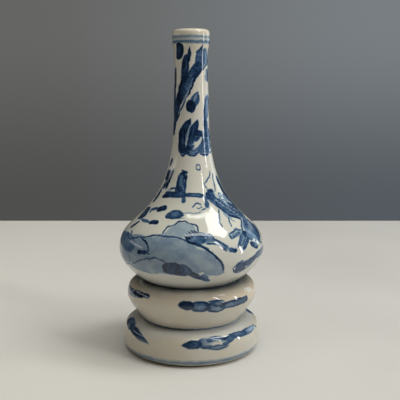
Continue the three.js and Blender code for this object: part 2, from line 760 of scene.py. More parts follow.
def line(
    places: Sequence[Point], width: float, bows: Sequence[float] = (), load: float = 0.9
) -> list[Stroke]:
    """Draws a line through several places, as strokes that overlap.

    Args:
        places: The places it goes through.
        width: Its width.
        bows: The bend of each stroke, or nothing for straight ones.
        load: How much cobalt it leaves.

    Returns:
        The strokes.
    """
    overlap = 0.25
    soft = 0.5
    strokes = []
    last = len(places) - 2
    for i, (a, b) in enumerate(zip(places, places[1:])):
        along = (b[0] - a[0], b[1] - a[1])
        before = overlap if i else 0.0
        after = overlap if i < last else 0.0
        start = (a[0] - along[0] * before, a[1] - along[1] * before)
        end = (b[0] + along[0] * after, b[1] + along[1] * after)
        strokes.append(dab(start, end, width, bows[i] if bows else 0.0, load, soft))
    return strokes


@dataclass(frozen=True)
class Motif:
    """Strokes that belong together.

    Attributes:
        name: What the strokes show.
        inks: The strokes of cobalt.
        bares_and_highlights: Where the cobalt is wiped or left out again, and where it is left out as a
            painted highlight.
    """

    name: str
    inks: tuple[Stroke, ...]
    bares_and_highlights: tuple[Stroke, ...] = ()


class Side(Enum):
    """The sides of the vase that a motif is painted on."""

    FRONT = "front"
    BOTH = "both"
    BACK = "back"


@dataclass(frozen=True)
class Placed:
    """A motif on the wall.

    Attributes:
        motif: The strokes.
        side: Where they are painted. On the back they are turned by half a turn.
    """

    motif: Motif
    side: Side = Side.FRONT


class NeckPainting:
    """What is painted on the neck: a dragon's body that winds down it, and flames."""

    def rim_drop(self) -> Motif:
        """The drop that hangs under the rim."""
        return Motif("rim_drop", (dab((-37, 197.4), (-51, 189), 5.0, 0.3, 0.95),))

    def tongue(self) -> Motif:
        """The flame that stands up from the dragon's back.

        Returns:
            Its strokes.
        """
        inks = (
            pull((-4, 195.6), (-13, 186), 1.9, 0.3, 0.9),
            dab((-14, 191.6), (-24, 181), 3.4, -0.3, 0.93),
            dab((-22, 187.5), (-25, 177), 3.4, 0, 0.95),
            pull((-12, 190), (-15, 180), 2.2, 0, 0.84),
        )
        return Motif("tongue", inks, (dab((-14, 188.6), (-17, 184.2), 0.8, 0, 0.3, 0.5),))

    def cloud_behind(self) -> Motif:
        """The wash that the dragon comes out of, on the right under the rim.

        Returns:
            Its strokes.
        """
        inks = (
            dab((20, 190.2), (50, 192.2), 6.0, 0, 0.68),
            dab((14, 187), (50, 188.4), 6.4, 0, 0.72),
            dab((50, 194.6), (70, 186), 5.2, 0, 0.64),
            pull((41, 197), (37, 190.5), 1.2, 0, 0.8),
            dab((40, 195.6), (15, 188), 1.1, -0.7, 0.92),
            dab((12, 186.4), (32, 186.2), 2.6, 0, 0.86),
            dab((34, 186.5), (52, 188.5), 1.6, 0, 0.8),
            dab((58, 190), (70, 188), 1.3, 0, 0.8),
            dab((68, 184.6), (70, 177.6), 3.0, 0, 0.78),
            dab((54, 181), (62, 178), 1.2, 0, 0.55),
        )
        # The pale upright streak at 46 degrees is a painted highlight
        return Motif("cloud_behind", inks, (dab((46, 196), (46, 184), 0.7, 0, 0.25, 0.4),))

    def dragon_body(self) -> Motif:
        """The dragon's body, from the upper right down to the left, with its fin and its scales.

        Returns:
            Its strokes.
        """
        inks = [
            dab((36, 187.4), (4, 180.6), 5.6, 0, 0.8),
            dab((14, 184.8), (-16, 176.6), 6.0, 0.2, 0.87),
            dab((-6, 180.6), (-36, 171), 6.2, 0, 0.9),
            dab((-24, 175.4), (-54, 165.5), 5.2, 0.3, 0.91),
            dab((-44, 169.8), (-66, 158), 4.6, 0.2, 0.94),
            dab((-58, 163), (-72, 150), 3.4, 0, 0.88),
            dab((-67, 185), (-66, 173.5), 2.6, 0, 0.95),
            dab((-69, 176), (-67, 160), 2.8, 0, 0.9),
            dab((78, 188.8), (36, 183.2), 1.0, 0.3, 0.85, 0.25),
        ]
        fin = (
            ((40, 184), (18, 179.8)),
            ((20, 181), (4, 176.6)),
            ((7, 177.6), (1, 173.8)),
            ((0, 175.2), (-8, 171)),
            ((-6, 172.2), (-19, 169.2)),
            ((-16, 170.4), (-25, 166)),
            ((-22, 167.6), (-31, 164)),
            ((-28, 165.4), (-38, 162.6)),
            ((-36, 164), (-43, 159.6)),
            ((-41, 161), (-54, 157.2)),
        )
        inks += [dab(start, end, 1.0, 0, 0.98, 0.25) for start, end in fin]
        bares_and_highlights = [
            dab((6, 179.8), (-12, 172.2), 1.2, 0, 0.44, 0.6),
            dab((-10, 173), (-27, 166.2), 1.3, 0, 0.5, 0.6),
            dab((-25, 167.2), (-45, 160.8), 1.2, 0, 0.46, 0.6),
            pull((4, 190.6), (-12, 182.4), 1.9, 0.3, 0.97, 0.5),
        ]
        rows, first, step = 8, (3.0, 181.6), (-5.0, -2.1)
        for row in range(rows):
            angle, run = first[0] + step[0] * row, first[1] + step[1] * row
            bares_and_highlights.append(dab((angle, run), (angle - 7, run - 1.4), 0.4, 0.2, 0.4))
            bares_and_highlights.append(dab((angle - 7, run + 0.4), (angle - 1, run - 1.8), 0.35, -0.2, 0.36))
        return Motif("dragon_body", tuple(inks), tuple(bares_and_highlights))

    def teardrop(self) -> Motif:
        """The flaming pearl under the dragon.

        Returns:
            Its strokes.
        """
        inks = (
            lobe((-16, 165.2), (15.5, 165.6), 6.8, 0, 0.9, 0.12),
            dab((-14, 165.6), (1, 165), 4.4, 0, 0.97),
            pull((-2, 163.4), (23, 173), 4.8, -0.3, 0.72),
            dab((11, 167), (20, 170.2), 1.6, 0, 0.8),
        )
        return Motif("teardrop", inks, (pull((8, 167.4), (22, 172.4), 1.3, 0, 0.36, 0.6),))

    def side_leaf(self) -> Motif:
        """The long leaf at the right of the neck.

        Returns:
            Its strokes.
        """
        inks = (
            dab((68, 171), (54, 158.8), 5.4, 0, 0.6),
            dab((62, 171), (48, 164.5), 1.1, 0.2, 0.8),
            dab((49, 165.6), (45, 158.6), 1.3, 0, 0.85),
            dab((66, 161), (52, 158.2), 2.6, 0, 0.8),
            pull((50, 161.4), (49, 149.6), 2.4, 0, 0.88),
        )
        return Motif("side_leaf", inks)

    def flames(self) -> Motif:
        """The row of flames round the root of the neck.

        Returns:
            Its strokes.
        """
        inks = (
            pull((0.6, 159.2), (-33, 148.6), 4.4, -0.5, 0.88),
            dab((-28, 154.6), (-29, 141), 4.2, 0, 0.94),
            wash((-13, 155), (-19, 145), 3.2, 0, 0.5, 0.8),
            pull((23, 158.6), (-9, 144.6), 5.0, -0.5, 0.78),
            wash((12, 153.4), (-6, 145), 3.6, 0, 0.68),
            pull((8, 155.4), (-11, 144.4), 1.4, -0.2, 0.95),
            dab((12, 152), (42, 150.6), 3.4, 0, 0.84),
            wash((26, 146), (46, 147.4), 5.0, 0, 0.64),
            wash((6, 148.4), (28, 148.8), 3.0, 0, 0.72),
            wash((-28, 143.2), (0, 143), 5.2, 0, 0.78),
            wash((-10, 143.2), (26, 143), 4.8, 0, 0.66),
            wash((20, 143.6), (64, 143.4), 5.2, 0, 0.62),
            dab((-32, 141.4), (-13, 141.5), 1.4, -1.4, 0.95),
            dab((-13, 141.3), (22, 141.6), 1.2, -1.4, 0.93),
            dab((22, 141.6), (61, 141.3), 1.2, -1.4, 0.9),
            dab((6, 144.8), (29, 147.2), 1.1, -0.9, 0.88),
            dab((54, 158.6), (57, 149), 3.6, 0, 0.84),
            wash((33, 151.6), (62, 149.6), 3.6, 0, 0.6),
            wash((34, 147.4), (66, 147), 3.6, 0, 0.56),
            dab((36, 150), (44, 145.8), 1.1, 0, 0.82),
            dab((44, 146), (53, 149.4), 1.1, 0, 0.82),
            dab((64, 154), (76, 147), 3.4, 0, 0.66),
            dab((58, 141.8), (80, 142.4), 1.1, -0.9, 0.8),
            wash((60, 144.8), (80, 145), 4.0, 0, 0.5),
        )
        bares_and_highlights = (
            dab((-3, 156), (-15.5, 144.6), 0.8, -0.1, 0.66, 0.5),
            lobe((6.6, 143.4), (34, 149.2), 1.9, -0.1, 1.0, 0.0),
            pull((41, 158.4), (40, 148), 1.3, 0, 0.6, 0.6),
            dab((-12, 142.9), (20, 143), 0.6, -1.3, 0.3),
            dab((-26, 153), (-24, 143.6), 0.6, 0, 0.24),
            # This pale patch low on the right is a painted highlight
            dab((38, 144), (50, 146.2), 1.0, 0, 0.35),
        )
        return Motif("flames", inks, bares_and_highlights)

    def placed(self) -> list[Placed]:
        """Lays the motifs round the neck.

        Returns:
            The motifs, each with its side.
        """
        return [
            Placed(self.rim_drop(), Side.BOTH),
            Placed(self.tongue()),
            Placed(self.cloud_behind()),
            Placed(self.dragon_body(), Side.BOTH),
            Placed(self.teardrop(), Side.BOTH),
            Placed(self.side_leaf()),
            Placed(self.flames(), Side.BOTH),
        ]


class ShoulderPainting:
    """What is painted on the shoulder: small signs of luck, a branch and the dragon's head."""

    def ring(self) -> Motif:
        """The small ring high on the shoulder."""
        ink = dab((11, 133.8), (23.5, 133.9), 3.3, 0, 0.72)
        return Motif("ring", (ink,), (dab((13.4, 133.85), (21.2, 133.9), 1.8, 0, 1.0, 0.4),))

    def branch(self) -> Motif:
        """The dark branch down the left of the shoulder.

        Returns:
            Its strokes.
        """
        inks = (
            dab((-46.5, 132.8), (-54, 121.6), 2.0, -0.15, 0.98),
            dab((-56, 131.8), (-60, 126), 3.4, 0, 0.95),
            dab((-59, 138.4), (-66, 133.6), 2.0, 0, 0.72),
            dab((-66, 132), (-70, 126), 2.6, 0, 0.8),
            dab((-62, 127), (-70, 119), 1.6, 0, 0.85),
            dab((-56, 125.5), (-62, 121.2), 1.8, 0, 0.9),
            dab((-68, 121.4), (-73, 112.6), 3.0, 0, 0.9),
        )
        return Motif("branch", inks)

    def knot(self) -> Motif:
        """The tied ribbon with its two arms.

        Returns:
            Its strokes.
        """
        inks = (
            dab((-17, 131.6), (-19.5, 120.5), 4.8, 0, 0.84),
            dab((-27.5, 129.8), (-28, 120.8), 1.3, 0, 0.95),
            dab((-22.5, 132.4), (-7.5, 131), 1.1, 0, 0.95),
            dab((-11.5, 131), (-10.6, 121), 1.0, 0, 0.93),
            dab((-27, 121.4), (-9, 120.4), 3.4, 0, 0.8),
            dab((-46, 119), (-6, 119.3), 3.6, 0.1, 0.83),
            dab((-10, 119.3), (24, 118.5), 2.5, 0.35, 0.78),
            dab((-51, 118.6), (-32, 119.6), 3.8, -0.2, 0.86),
            pull((-55, 117.4), (-40, 118.3), 2.6, 0, 0.9),
            pull((-47, 120.8), (-27, 122.8), 1.1, 0.5, 0.9),
            dab((-12, 118.8), (-11, 114.7), 2.1, 0, 0.76),
        )
        bares_and_highlights = (
            dab((-46, 121.1), (-31, 121.4), 0.5, 0.45, 0.75),
            dab((-20.5, 130), (-21.5, 123.5), 1.8, 0, 0.26, 0.8),
            dab((-12.6, 130.8), (-12, 129.6), 0.5, 0, 0.6),
            dab((-13, 127.6), (-12.4, 126.4), 0.5, 0, 0.55),
            dab((-17.5, 124.5), (-13.5, 121.8), 0.7, 0, 0.4, 0.4),
            dab((-5, 119.2), (17, 118.7), 0.7, 0.3, 0.22, 0.5),
        )
        return Motif("knot", inks, bares_and_highlights)

    def whiskers(self) -> Motif:
        """The dragon's two whiskers.

        Returns:
            Its strokes.
        """
        inks = (
            line([(31, 122.4), (26.8, 125)], 0.75, [0.25], 0.84)
            + line([(26.8, 125), (42.5, 128.4), (48, 131.6)], 0.7, [0.1, -0.2], 0.8)
            + line([(44.5, 120.2), (51.5, 123.2), (53, 127), (59, 130.2)], 0.7, [-0.3, 0.1, 0.15], 0.76)
        )
        return Motif("whiskers", tuple(inks))

    def swirl(self) -> Motif:
        """The thin curl in front of the dragon's mouth.

        Returns:
            Its strokes.
        """
        inks = line([(2, 112.1), (8, 114.5), (15.5, 113.6)], 0.7, [0.25, 0.4], 0.84)
        inks += [
            dab((8.5, 112.2), (13, 111.8), 0.6, -0.35, 0.8),
            dab((13, 112.6), (16, 112), 0.6, 0.2, 0.8),
            dab((-8, 109.1), (4, 108.8), 0.55, 0.1, 0.6),
            dab((3, 108.8), (13, 109.6), 0.55, -0.15, 0.6),
            dab((13.5, 110.6), (20, 111.4), 0.7, -0.2, 0.84),
        ]
        return Motif("swirl", tuple(inks))

    def dragon_head(self) -> Motif:
        """The dragon's head and mane.

        Returns:
            Its strokes.
        """
        inks = [
            wash((30, 119.6), (56, 109.6), 7.4, 0.2, 0.56),
            wash((44, 112.2), (70, 105), 8.6, 0.3, 0.54),
            wash((60, 112), (84, 102.4), 9.4, 0, 0.56),
            wash((62, 117.4), (84, 111), 5.4, 0, 0.5),
            dab((70, 128.6), (84, 107), 5.0, 0, 0.84),
            dab((24.8, 118.6), (34, 118.4), 4.0, 0, 0.84),
            dab((25, 118.4), (22, 111.6), 2.3, 0.4, 0.66),
            dab((29, 121), (43, 121), 2.2, 0, 0.8),
            dab((33, 119), (47, 113.4), 4.2, 0, 0.78),
            dab((38, 114.2), (51, 105.6), 1.3, -0.3, 0.84),
            dab((48, 106.2), (66, 101.6), 2.2, 0.3, 0.84),
            dab((52, 108), (80, 103), 2.6, 0, 0.72),
            dab((51, 118), (61, 118.3), 2.6, 0, 0.7),
        ]
        strands, first, step = 6, (36.0, 117.4), (3.4, -1.9)
        for strand in range(strands):
            angle, run = first[0] + step[0] * strand, first[1] + step[1] * strand
            inks.append(pull((angle, run), (angle + 26, run - 5.4), 0.9, 0.5, 0.9, 0.3))
            inks.append(pull((angle + 16, run - 1.2), (angle + 40, run - 6.6), 0.9, 0.4, 0.86, 0.3))
        bares_and_highlights = [
            dab((53.6, 118.1), (58.4, 118.3), 1.2, 0, 0.9),
            dab((44, 119.6), (49, 116.6), 2.4, 0.2, 0.75, 0.6),
            dab((26.5, 116.4), (31, 111), 1.0, 0.2, 0.9),
            dab((66, 114.6), (80, 111.4), 1.8, 0, 0.6, 0.8),
        ]
        scales, first, step = 7, (39.0, 115.8), (4.4, -1.75)
        for scale in range(scales):
            angle, run = first[0] + step[0] * scale, first[1] + step[1] * scale
            bares_and_highlights.append(dab((angle, run), (angle + 5, run - 1.2), 0.9, 0.4, 0.55, 0.5))
            bares_and_highlights.append(dab((angle + 7, run + 1.4), (angle + 12, run + 0.2), 0.8, 0.4, 0.5, 0.5))
        return Motif("dragon_head", tuple(inks), tuple(bares_and_highlights))

    def beard(self) -> Motif:
        """The thin lines that hang from the dragon's chin.

        Returns:
            Its strokes.
        """
        inks = line([(39, 110.6), (34, 105.6), (30.7, 102.2), (31.4, 99.2)], 0.85, [0.1, 0.1, 0.15], 0.72)
        inks += line([(47, 105.2), (43, 101.8), (42.2, 98.4)], 0.9, [0.1, 0.2], 0.74)
        inks += [
            dab((43, 108), (50, 103.4), 2.6, 0, 0.34),
            dab((48, 103.4), (51, 101.6), 0.9, 0, 0.5),
        ]
        return Motif("beard", tuple(inks))

    def dragon_leg(self) -> Motif:
        """The dragon's leg and claws at the right.

        Returns:
            Its strokes.
        """
        inks = [
            wash((80, 101), (58, 91), 10.0, 0, 0.56),
            wash((84, 95.6), (66, 87.6), 6.4, 0, 0.66),
            dab((50, 94.6), (60, 89.4), 4.2, 0, 0.78),
            wash((50, 95.6), (36, 93.2), 2.8, 0.3, 0.46),
            dab((51.4, 93.6), (40.8, 87.8), 3.8, 0, 0.68),
            dab((46.4, 93.4), (38.4, 87.2), 0.9, 0, 0.88),
            dab((54, 91), (42.6, 85.4), 2.2, 0.2, 0.78),
            dab((34.4, 94.6), (35.4, 91.8), 1.3, 0, 0.78),
            dab((53, 87.8), (64, 84.4), 3.0, 0, 0.84),
            dab((68, 87), (76, 84.6), 1.2, 0, 0.66),
            dab((60, 98), (76, 95), 1.2, 0.5, 0.74),
        ]
        inks += line([(67, 103), (57, 98.6), (52, 95.4), (54, 92.6)], 1.1, [0.3, 0.2, 0.2], 0.7)
        inks += line([(85, 94.6), (75, 90.6), (61, 87.6)], 1.1, [-0.2, -0.2], 0.78)
        inks += line([(52, 95.8), (44.5, 97), (34.2, 94.8)], 1.1, [0.2, 0.3], 0.76)
        inks += line([(47.5, 94.6), (43, 94.6), (35.6, 92)], 1.0, [0, 0.2], 0.76)
        bares_and_highlights = (
            # This pale wash across the leg is a painted highlight
            wash((76, 98), (60, 93.4), 3.0, 0.3, 0.3, 1.6),
            dab((49.4, 92), (42.4, 88.2), 0.7, 0.1, 0.4, 0.4),
            dab((46, 95.7), (38, 93.6), 0.8, 0.2, 0.35, 0.5),
        )
        return Motif("dragon_leg", tuple(inks), bares_and_highlights)

    def clouds(self) -> Motif:
        """The broad dabs that float at the left.

        Returns:
            Its strokes.
        """
        inks = (
            dab((-49, 109.3), (-34, 111.6), 3.3, 0.2, 0.94),
            pull((-64, 108.4), (-44, 110.6), 1.9, 0.2, 0.72),
            dab((-62, 109.5), (-58.5, 106.6), 1.3, 0, 0.8),
            lobe((-31, 106.8), (-8.5, 108.2), 5.4, 0.4, 0.84, 0.34),
            dab((-30.6, 107.2), (-24.5, 106.6), 3.4, 0, 0.9),
            dab((-25, 109.8), (-13, 110.2), 1.2, 0.1, 0.7),
            pull((-22, 105.4), (-7, 106), 0.7, 0, 0.55),
            dab((-47.5, 101.2), (-35.2, 102), 2.7, 0.2, 0.93),
            pull((-66, 101.6), (-44, 101.3), 2.0, 0.1, 0.7),
            dab((-75, 109.5), (-69, 101), 7.0, 0.5, 0.85),
            dab((-64, 100.2), (-71, 94.5), 2.2, -0.2, 0.88),
        )
        return Motif("clouds", inks)

    def back_clouds(self) -> Motif:
        """The plain dabs on the back, where the front has the dragon's head.

        Returns:
            Its strokes.
        """
        inks = (
            dab((44, 112.4), (60, 110.8), 4.4, 0.4, 0.72),
            dab((66, 109.6), (78, 106.8), 3.0, 0.3, 0.84),
            dab((34, 104), (47, 103), 3.0, 0.3, 0.84),
            pull((45, 103.2), (62, 102), 1.9, 0.2, 0.66),
            dab((58, 96.6), (71, 95.4), 3.6, 0.4, 0.76),
            pull((36, 94.4), (54, 95), 2.2, 0.3, 0.7),
        )
        return Motif("back_clouds", inks)

    def placed(self) -> list[Placed]:
        """Lays the motifs round the shoulder.

        Returns:
            The motifs, each with its side.
        """
        return [
            Placed(self.ring(), Side.BOTH),
            Placed(self.branch(), Side.BOTH),
            Placed(self.knot(), Side.BOTH),
            Placed(self.whiskers()),
            Placed(self.swirl()),
            Placed(self.dragon_head()),
            Placed(self.beard()),
            Placed(self.dragon_leg()),
            Placed(self.clouds(), Side.BOTH),
            Placed(self.back_clouds(), Side.BACK),
        ]


class BellyPainting:
    """What is painted on the upper bulb: a rounded rock in wash, a petal and a spray over it."""

    def petal(self) -> Motif:
        """The pale petal above the rock.

        Returns:
            Its strokes.
        """
        fills = [
            wash((-22, 97.2), (5, 98), 7.0, 0.3, 0.3),
            wash((-17, 100.8), (4, 100.4), 4.6, 0.3, 0.3),
            wash((-24, 95.4), (-8, 96), 4.0, 0.0, 0.3),
        ]
        edge = (
            line([(-25, 95), (-22.8, 99.8), (-17.6, 101.2)], 0.75, [0.3, 0.2], 0.9)
            + line([(-17.8, 101), (-12.7, 103.5), (-6.3, 103.9), (-2, 102.7)], 0.75, [0.2, 0.1, 0.1], 0.92)
            + line([(-2, 102.7), (4, 101.9), (6.4, 100), (6.9, 95.9)], 0.75, [0.1, 0.3, 0.1], 0.92)
        )
        return Motif("petal", tuple(fills + edge))

    def spray(self) -> Motif:
        """The spray of pine needles and the arm that reaches to the right.

        Returns:
            Its strokes.
        """
        tips = ((-5.2, 95.4), (-4.4, 96.8), (-2.6, 98), (0, 98.8), (2.6, 98.8), (5, 98))
        across, up = 4.5, -4.0
        inks = [pull((tip[0] + across, tip[1] + up), tip, 1.5, 0.0, 0.94) for tip in tips]
        inks += [
            wash((-1, 93.6), (12, 92.8), 5.8, 0.4, 0.6),
            wash((4, 95.4), (13, 94.4), 3.6, 0.3, 0.58),
            dab((-4, 92.2), (9, 89.5), 1.7, 0.2, 0.92),
            dab((6.4, 96.9), (13.6, 95), 0.9, 0.6, 0.92),
            dab((4.6, 94.2), (12, 94.4), 1.0, 0.7, 0.9),
            dab((8.4, 91.2), (13.6, 93), 1.0, 0.5, 0.88),
            wash((14, 94.6), (18.4, 94), 3.4, 0, 0.48),
            dab((14, 96), (19, 92.6), 1.0, 1.1, 0.9),
            dab((13.6, 95.8), (13.4, 92.6), 0.8, 0.3, 0.8),
            wash((11, 91.9), (23, 91.1), 2.8, 0.5, 0.52),
            wash((20, 91.5), (30, 86.8), 2.6, 0.3, 0.5),
            dab((17, 93.3), (29.6, 87.2), 1.0, 0.7, 0.92),
            dab((12, 90.6), (20.6, 90), 1.0, 0.3, 0.9),
            dab((19.4, 90.4), (27.8, 86.2), 1.0, 0.3, 0.9),
            dab((29.4, 86.5), (37.4, 85.6), 2.4, 0, 0.7),
            dab((33, 86), (37, 85.6), 2.0, 0, 0.84),
        ]
        bares_and_highlights = (
            dab((13.4, 91.6), (24, 89.6), 0.7, 0.5, 0.4),
            dab((0, 92), (4, 94.4), 1.4, 0, 0.2, 0.9),
        )
        return Motif("spray", tuple(inks), bares_and_highlights)

    def rock_wash(self) -> Motif:
        """The rock's broad wash.

        Returns:
            Its strokes.
        """
        load = 0.37
        fills = (
            # The washes at the left end are loaded darker than the rest: painted shade on the vase's shaded
            # left side
            wash((-88, 86), (-48, 87), 10.0, 0.8, 0.52),
            wash((-62, 87), (-24, 87), 11.5, 0.8, load),
            wash((-38, 88), (6, 84.5), 13.5, 1.2, load),
            wash((-88, 81), (-52, 79.5), 9.0, -1.0, 0.5),
            wash((-64, 82), (-26, 79), 11.5, -1.0, load),
            wash((-36, 80.5), (10, 79.4), 12.5, 0, load),
            wash((-6, 84.8), (19, 78.4), 11.0, 0.9, load),
            wash((6, 80.4), (25, 76), 8.0, 0.3, load),
            wash((10, 76), (25.5, 74.6), 4.4, 0, load),
            wash((-60, 77.6), (-24, 75.6), 5.4, -0.6, load),
        )
        bares_and_highlights = (
            dab((-39, 83.2), (-29.5, 83.6), 0.5, 0.2, 0.3, 0.4),
            wash((-22, 80.6), (-19.4, 77.4), 1.2, 0, 0.18, 0.8),
            wash((0, 84.5), (16, 77), 5.0, 0.6, 0.22, 1.6),
            wash((-30, 84), (-8, 84.5), 2.6, 0.2, 0.14, 1.4),
        )
        return Motif("rock_wash", fills, bares_and_highlights)

    def rock_lines(self) -> Motif:
        """The rock's outline, its folds and the dark wedge at its foot.

        Returns:
            Its strokes.
        """
        inks = line([(-61, 89.2), (-49, 91.6), (-41, 92.1)], 0.9, [-0.3, 0.15], 0.88)
        inks += line([(-45, 91.5), (-30, 94.2), (-12, 94), (0, 91.2)], 1.0, [0.35, 0.25, 0.25], 0.86)
        edge = [(-3, 92.2), (10, 88.8), (17, 84.8), (22.5, 80.6), (25.5, 75.6)]
        inks += line(edge, 1.3, [0.0, 0.1, 0.2, 0.3], 0.86)
        inks += line([(-44.5, 91.5), (-38, 90), (-33, 86.6)], 1.1, [0.1, 0.25], 0.92)
        inks += line([(-53, 76.4), (-38, 81), (-27, 82.6), (-16.5, 80.4)], 0.9, [0.15, 0.1, 0.5], 0.84)
        inks += [
            dab((24.6, 78), (26.4, 73.8), 0.7, 0.15, 0.62),
            dab((-66, 84), (-57, 77.4), 0.6, -0.8, 0.5),
            dab((-44, 74.2), (-31, 73.4), 0.7, -0.4, 0.62),
            dab((-32, 73.5), (-24.5, 75.2), 0.7, -0.2, 0.62),
            dab((-33.6, 87), (-33.8, 85.2), 1.1, 0, 0.93),
            dab((-44.5, 84.2), (-35.5, 84.3), 2.3, 0.3, 0.92),
            pull((-40, 85.4), (-31.5, 84), 1.4, 0.3, 0.8),
            dab((-21.5, 78.4), (-4, 77.4), 6.6, 0, 0.84),
            dab((-14.5, 79.8), (-9.5, 76.6), 6.4, 0, 0.88),
            dab((-21.5, 76), (-2, 74.4), 2.8, 0, 0.86),
            dab((-17.6, 81), (-17.8, 75), 0.9, 0, 0.9),
            dab((-9, 80), (1, 74.8), 4.4, 0.3, 0.82),
            dab((-3, 76.4), (8, 71.6), 3.6, 0.1, 0.8),
            dab((4, 73.6), (16.5, 68.6), 2.8, 0, 0.76),
            dab((8, 74.2), (14, 71), 2.8, 0, 0.6),
        ]
        return Motif("rock_lines", tuple(inks))

    def left_curl(self) -> Motif:
        """The curl at the rock's left end.

        Returns:
            Its strokes.
        """
        inks = (
            dab((-64.5, 93.7), (-58.8, 91), 0.9, 0.7, 0.85),
            dab((-68, 92), (-60, 89), 1.6, 0, 0.8),
            dab((-72, 88), (-60, 89), 0.9, 0, 0.7),
        )
        return Motif("left_curl", inks)

    def right_leaf(self) -> Motif:
        """The long leaf at the right.

        Returns:
            Its strokes.
        """
        inks = (
            dab((36, 76.2), (47, 76), 6.2, 0, 0.76),
            dab((42, 77), (60, 80), 3.8, -0.2, 0.76),
            dab((56, 79.8), (80, 82), 3.8, 0, 0.74),
            dab((33.8, 76.4), (42, 72.4), 0.9, -0.9, 0.92),
            dab((42, 72.5), (56, 77.4), 0.9, -0.2, 0.86),
            dab((34, 76.6), (43, 79.9), 0.9, 0.5, 0.88),
            dab((45, 79.4), (49, 77.6), 0.9, 0, 0.85),
            dab((50, 78.6), (80, 83), 0.8, 0.4, 0.86),
            dab((40, 73.8), (48, 75), 2.2, 0, 0.85),
        )
        return Motif("right_leaf", inks)

    def placed(self) -> list[Placed]:
        """Lays the motifs round the upper bulb.

        Returns:
            The motifs, each with its side.
        """
        return [
            Placed(self.petal()),
            Placed(self.spray()),
            Placed(self.rock_wash(), Side.BOTH),
            Placed(self.rock_lines(), Side.BOTH),
            Placed(self.left_curl(), Side.BOTH),
            Placed(self.right_leaf(), Side.BOTH),
        ]


class LowerPainting:
    """What is painted on the two lower bulbs: trailing clouds."""

    def middle_cloud(self) -> Motif:
        """The long cloud at the front of the middle bulb.

        Returns:
            Its strokes.
        """
        inks = (
            lobe((-10.4, 46.8), (3.4, 46.3), 4.6, 0, 0.95, 0.14),
            lobe((-1, 46), (16.8, 45.6), 5.6, 0, 0.86, 0.46),
            lobe((12.6, 45.6), (30, 44.8), 6.0, -0.2, 0.86, 0.48),
            Stroke((24, 45), (57.6, 45.5), 3.7, 0.1, 0.84, soft=0.6, thin=0.36),
            dab((16, 46.8), (33, 46.8), 1.3, -1.3, 0.88),
            dab((14.6, 48), (29, 47.5), 1.0, 0.5, 0.82),
            dab((53, 45.9), (57.6, 45.5), 3.2, 0, 0.8),
            dab((44, 45.6), (56, 45.4), 1.6, 0, 0.66),
        )
        bares_and_highlights = (
            dab((20, 47.4), (28, 47), 0.8, -0.3, 0.4),
            dab((18, 44.2), (27, 44.2), 1.0, -0.6, 0.3),
        )
        return Motif("middle_cloud", inks, bares_and_highlights)

    def middle_cloud_left(self) -> Motif:
        """The cloud that goes round the left of the middle bulb.

        Returns:
            Its strokes.
        """
        inks = (
            dab((-62, 48), (-45, 48.6), 3.3, 0.2, 0.95),
            dab((-46, 49), (-38.2, 48.8), 2.3, 0, 0.97),
            dab((-82, 46.6), (-60, 47.6), 3.4, 0, 0.62),
            dab((-82, 48.6), (-62, 49.4), 1.0, 0, 0.8),
            dab((-66, 45.8), (-52, 46.8), 0.7, -0.1, 0.7),
        )
        return Motif("middle_cloud_left", inks, (dab((-44, 48.5), (-38.5, 48.2), 0.5, 0, 0.7),))

    def foot_cloud(self) -> Motif:
        """The long cloud at the front of the foot bulb.

        Returns:
            Its strokes.
        """
        inks = (
            pull((-7.6, 15.3), (4, 15.8), 3.2, 0, 0.76),
            lobe((-6, 15.4), (9.4, 15.9), 4.4, 0, 0.8, 0.3),
            lobe((5.4, 16.3), (17.4, 16.1), 6.0, 0, 0.78, 0.5),
            lobe((12.6, 17.5), (30, 17.2), 3.8, 0.4, 0.8, 0.44),
            lobe((12.6, 14), (31, 13.5), 2.8, -0.3, 0.78, 0.45),
            Stroke((26, 14.6), (39, 18), 3.8, 0.3, 0.78, soft=0.6, thin=0.3),
            Stroke((34, 17.7), (54, 16.8), 3.2, 0.5, 0.74, soft=0.6, thin=0.3),
            Stroke((48, 17.1), (68, 17.4), 3.0, 0.0, 0.62, soft=0.6, thin=0.36),
            dab((46, 18.4), (68, 18.3), 1.0, 0.3, 0.74),
            dab((58, 16.2), (69, 17.8), 0.9, 0, 0.66),
            dab((68.4, 18.2), (73, 16), 1.1, 0, 0.64),
        )
        # The streak left bare along the cloud's middle is a painted highlight
        return Motif("foot_cloud", inks, (lobe((13.6, 15.7), (29, 16), 1.5, 0, 0.8, 0),))

    def foot_cloud_left(self) -> Motif:
        """The tail of the cloud at the left of the foot bulb.

        Returns:
            Its strokes.
        """
        inks = (
            dab((-84, 20.4), (-60, 18), 5.0, 0.3, 0.7, 0.9),
            pull((-74, 19.6), (-35, 13.6), 4.4, 0.5, 0.76, 0.8),
        )
        return Motif("foot_cloud_left", inks, (dab((-74, 17.8), (-66, 17.2), 0.9, 0, 0.4, 0.5),))

    def placed(self) -> list[Placed]:
        """Lays the clouds round both bulbs.

        Returns:
            The motifs, each with its side.
        """
        return [
            Placed(self.middle_cloud(), Side.BOTH),
            Placed(self.middle_cloud_left(), Side.BOTH),
            Placed(self.foot_cloud(), Side.BOTH),
            Placed(self.foot_cloud_left(), Side.BOTH),
        ]


@dataclass(frozen=True)
class Band:
    """A thin line of cobalt right round the vase.

    Attributes:
        run: Its height, in mm up the wall.
        width: Its width in mm.
        load: How much cobalt it has.
        soft: How far its edge bleeds, in mm.
    """

    run: float
    width: float
    load: float
    soft: float = 0.4


# Three close lines under the rim, one in each waist and one round the foot. The line in the upper waist is
# partly its cobalt line and partly painted shade in that crease
BANDS = (
    Band(200.5, 1.5, 0.4, 0.9),
    Band(199.2, 3.0, 0.16, 1.2),
    Band(198.0, 1.8, 0.5, 1.0),
    # Partly a cobalt line, partly painted shade in the upper waist's crease
    Band(58.2, 1.3, 0.5, 1.4),
    Band(28.5, 1.4, 0.5, 1.0),
    Band(5.6, 2.6, 0.46, 1.7),
)


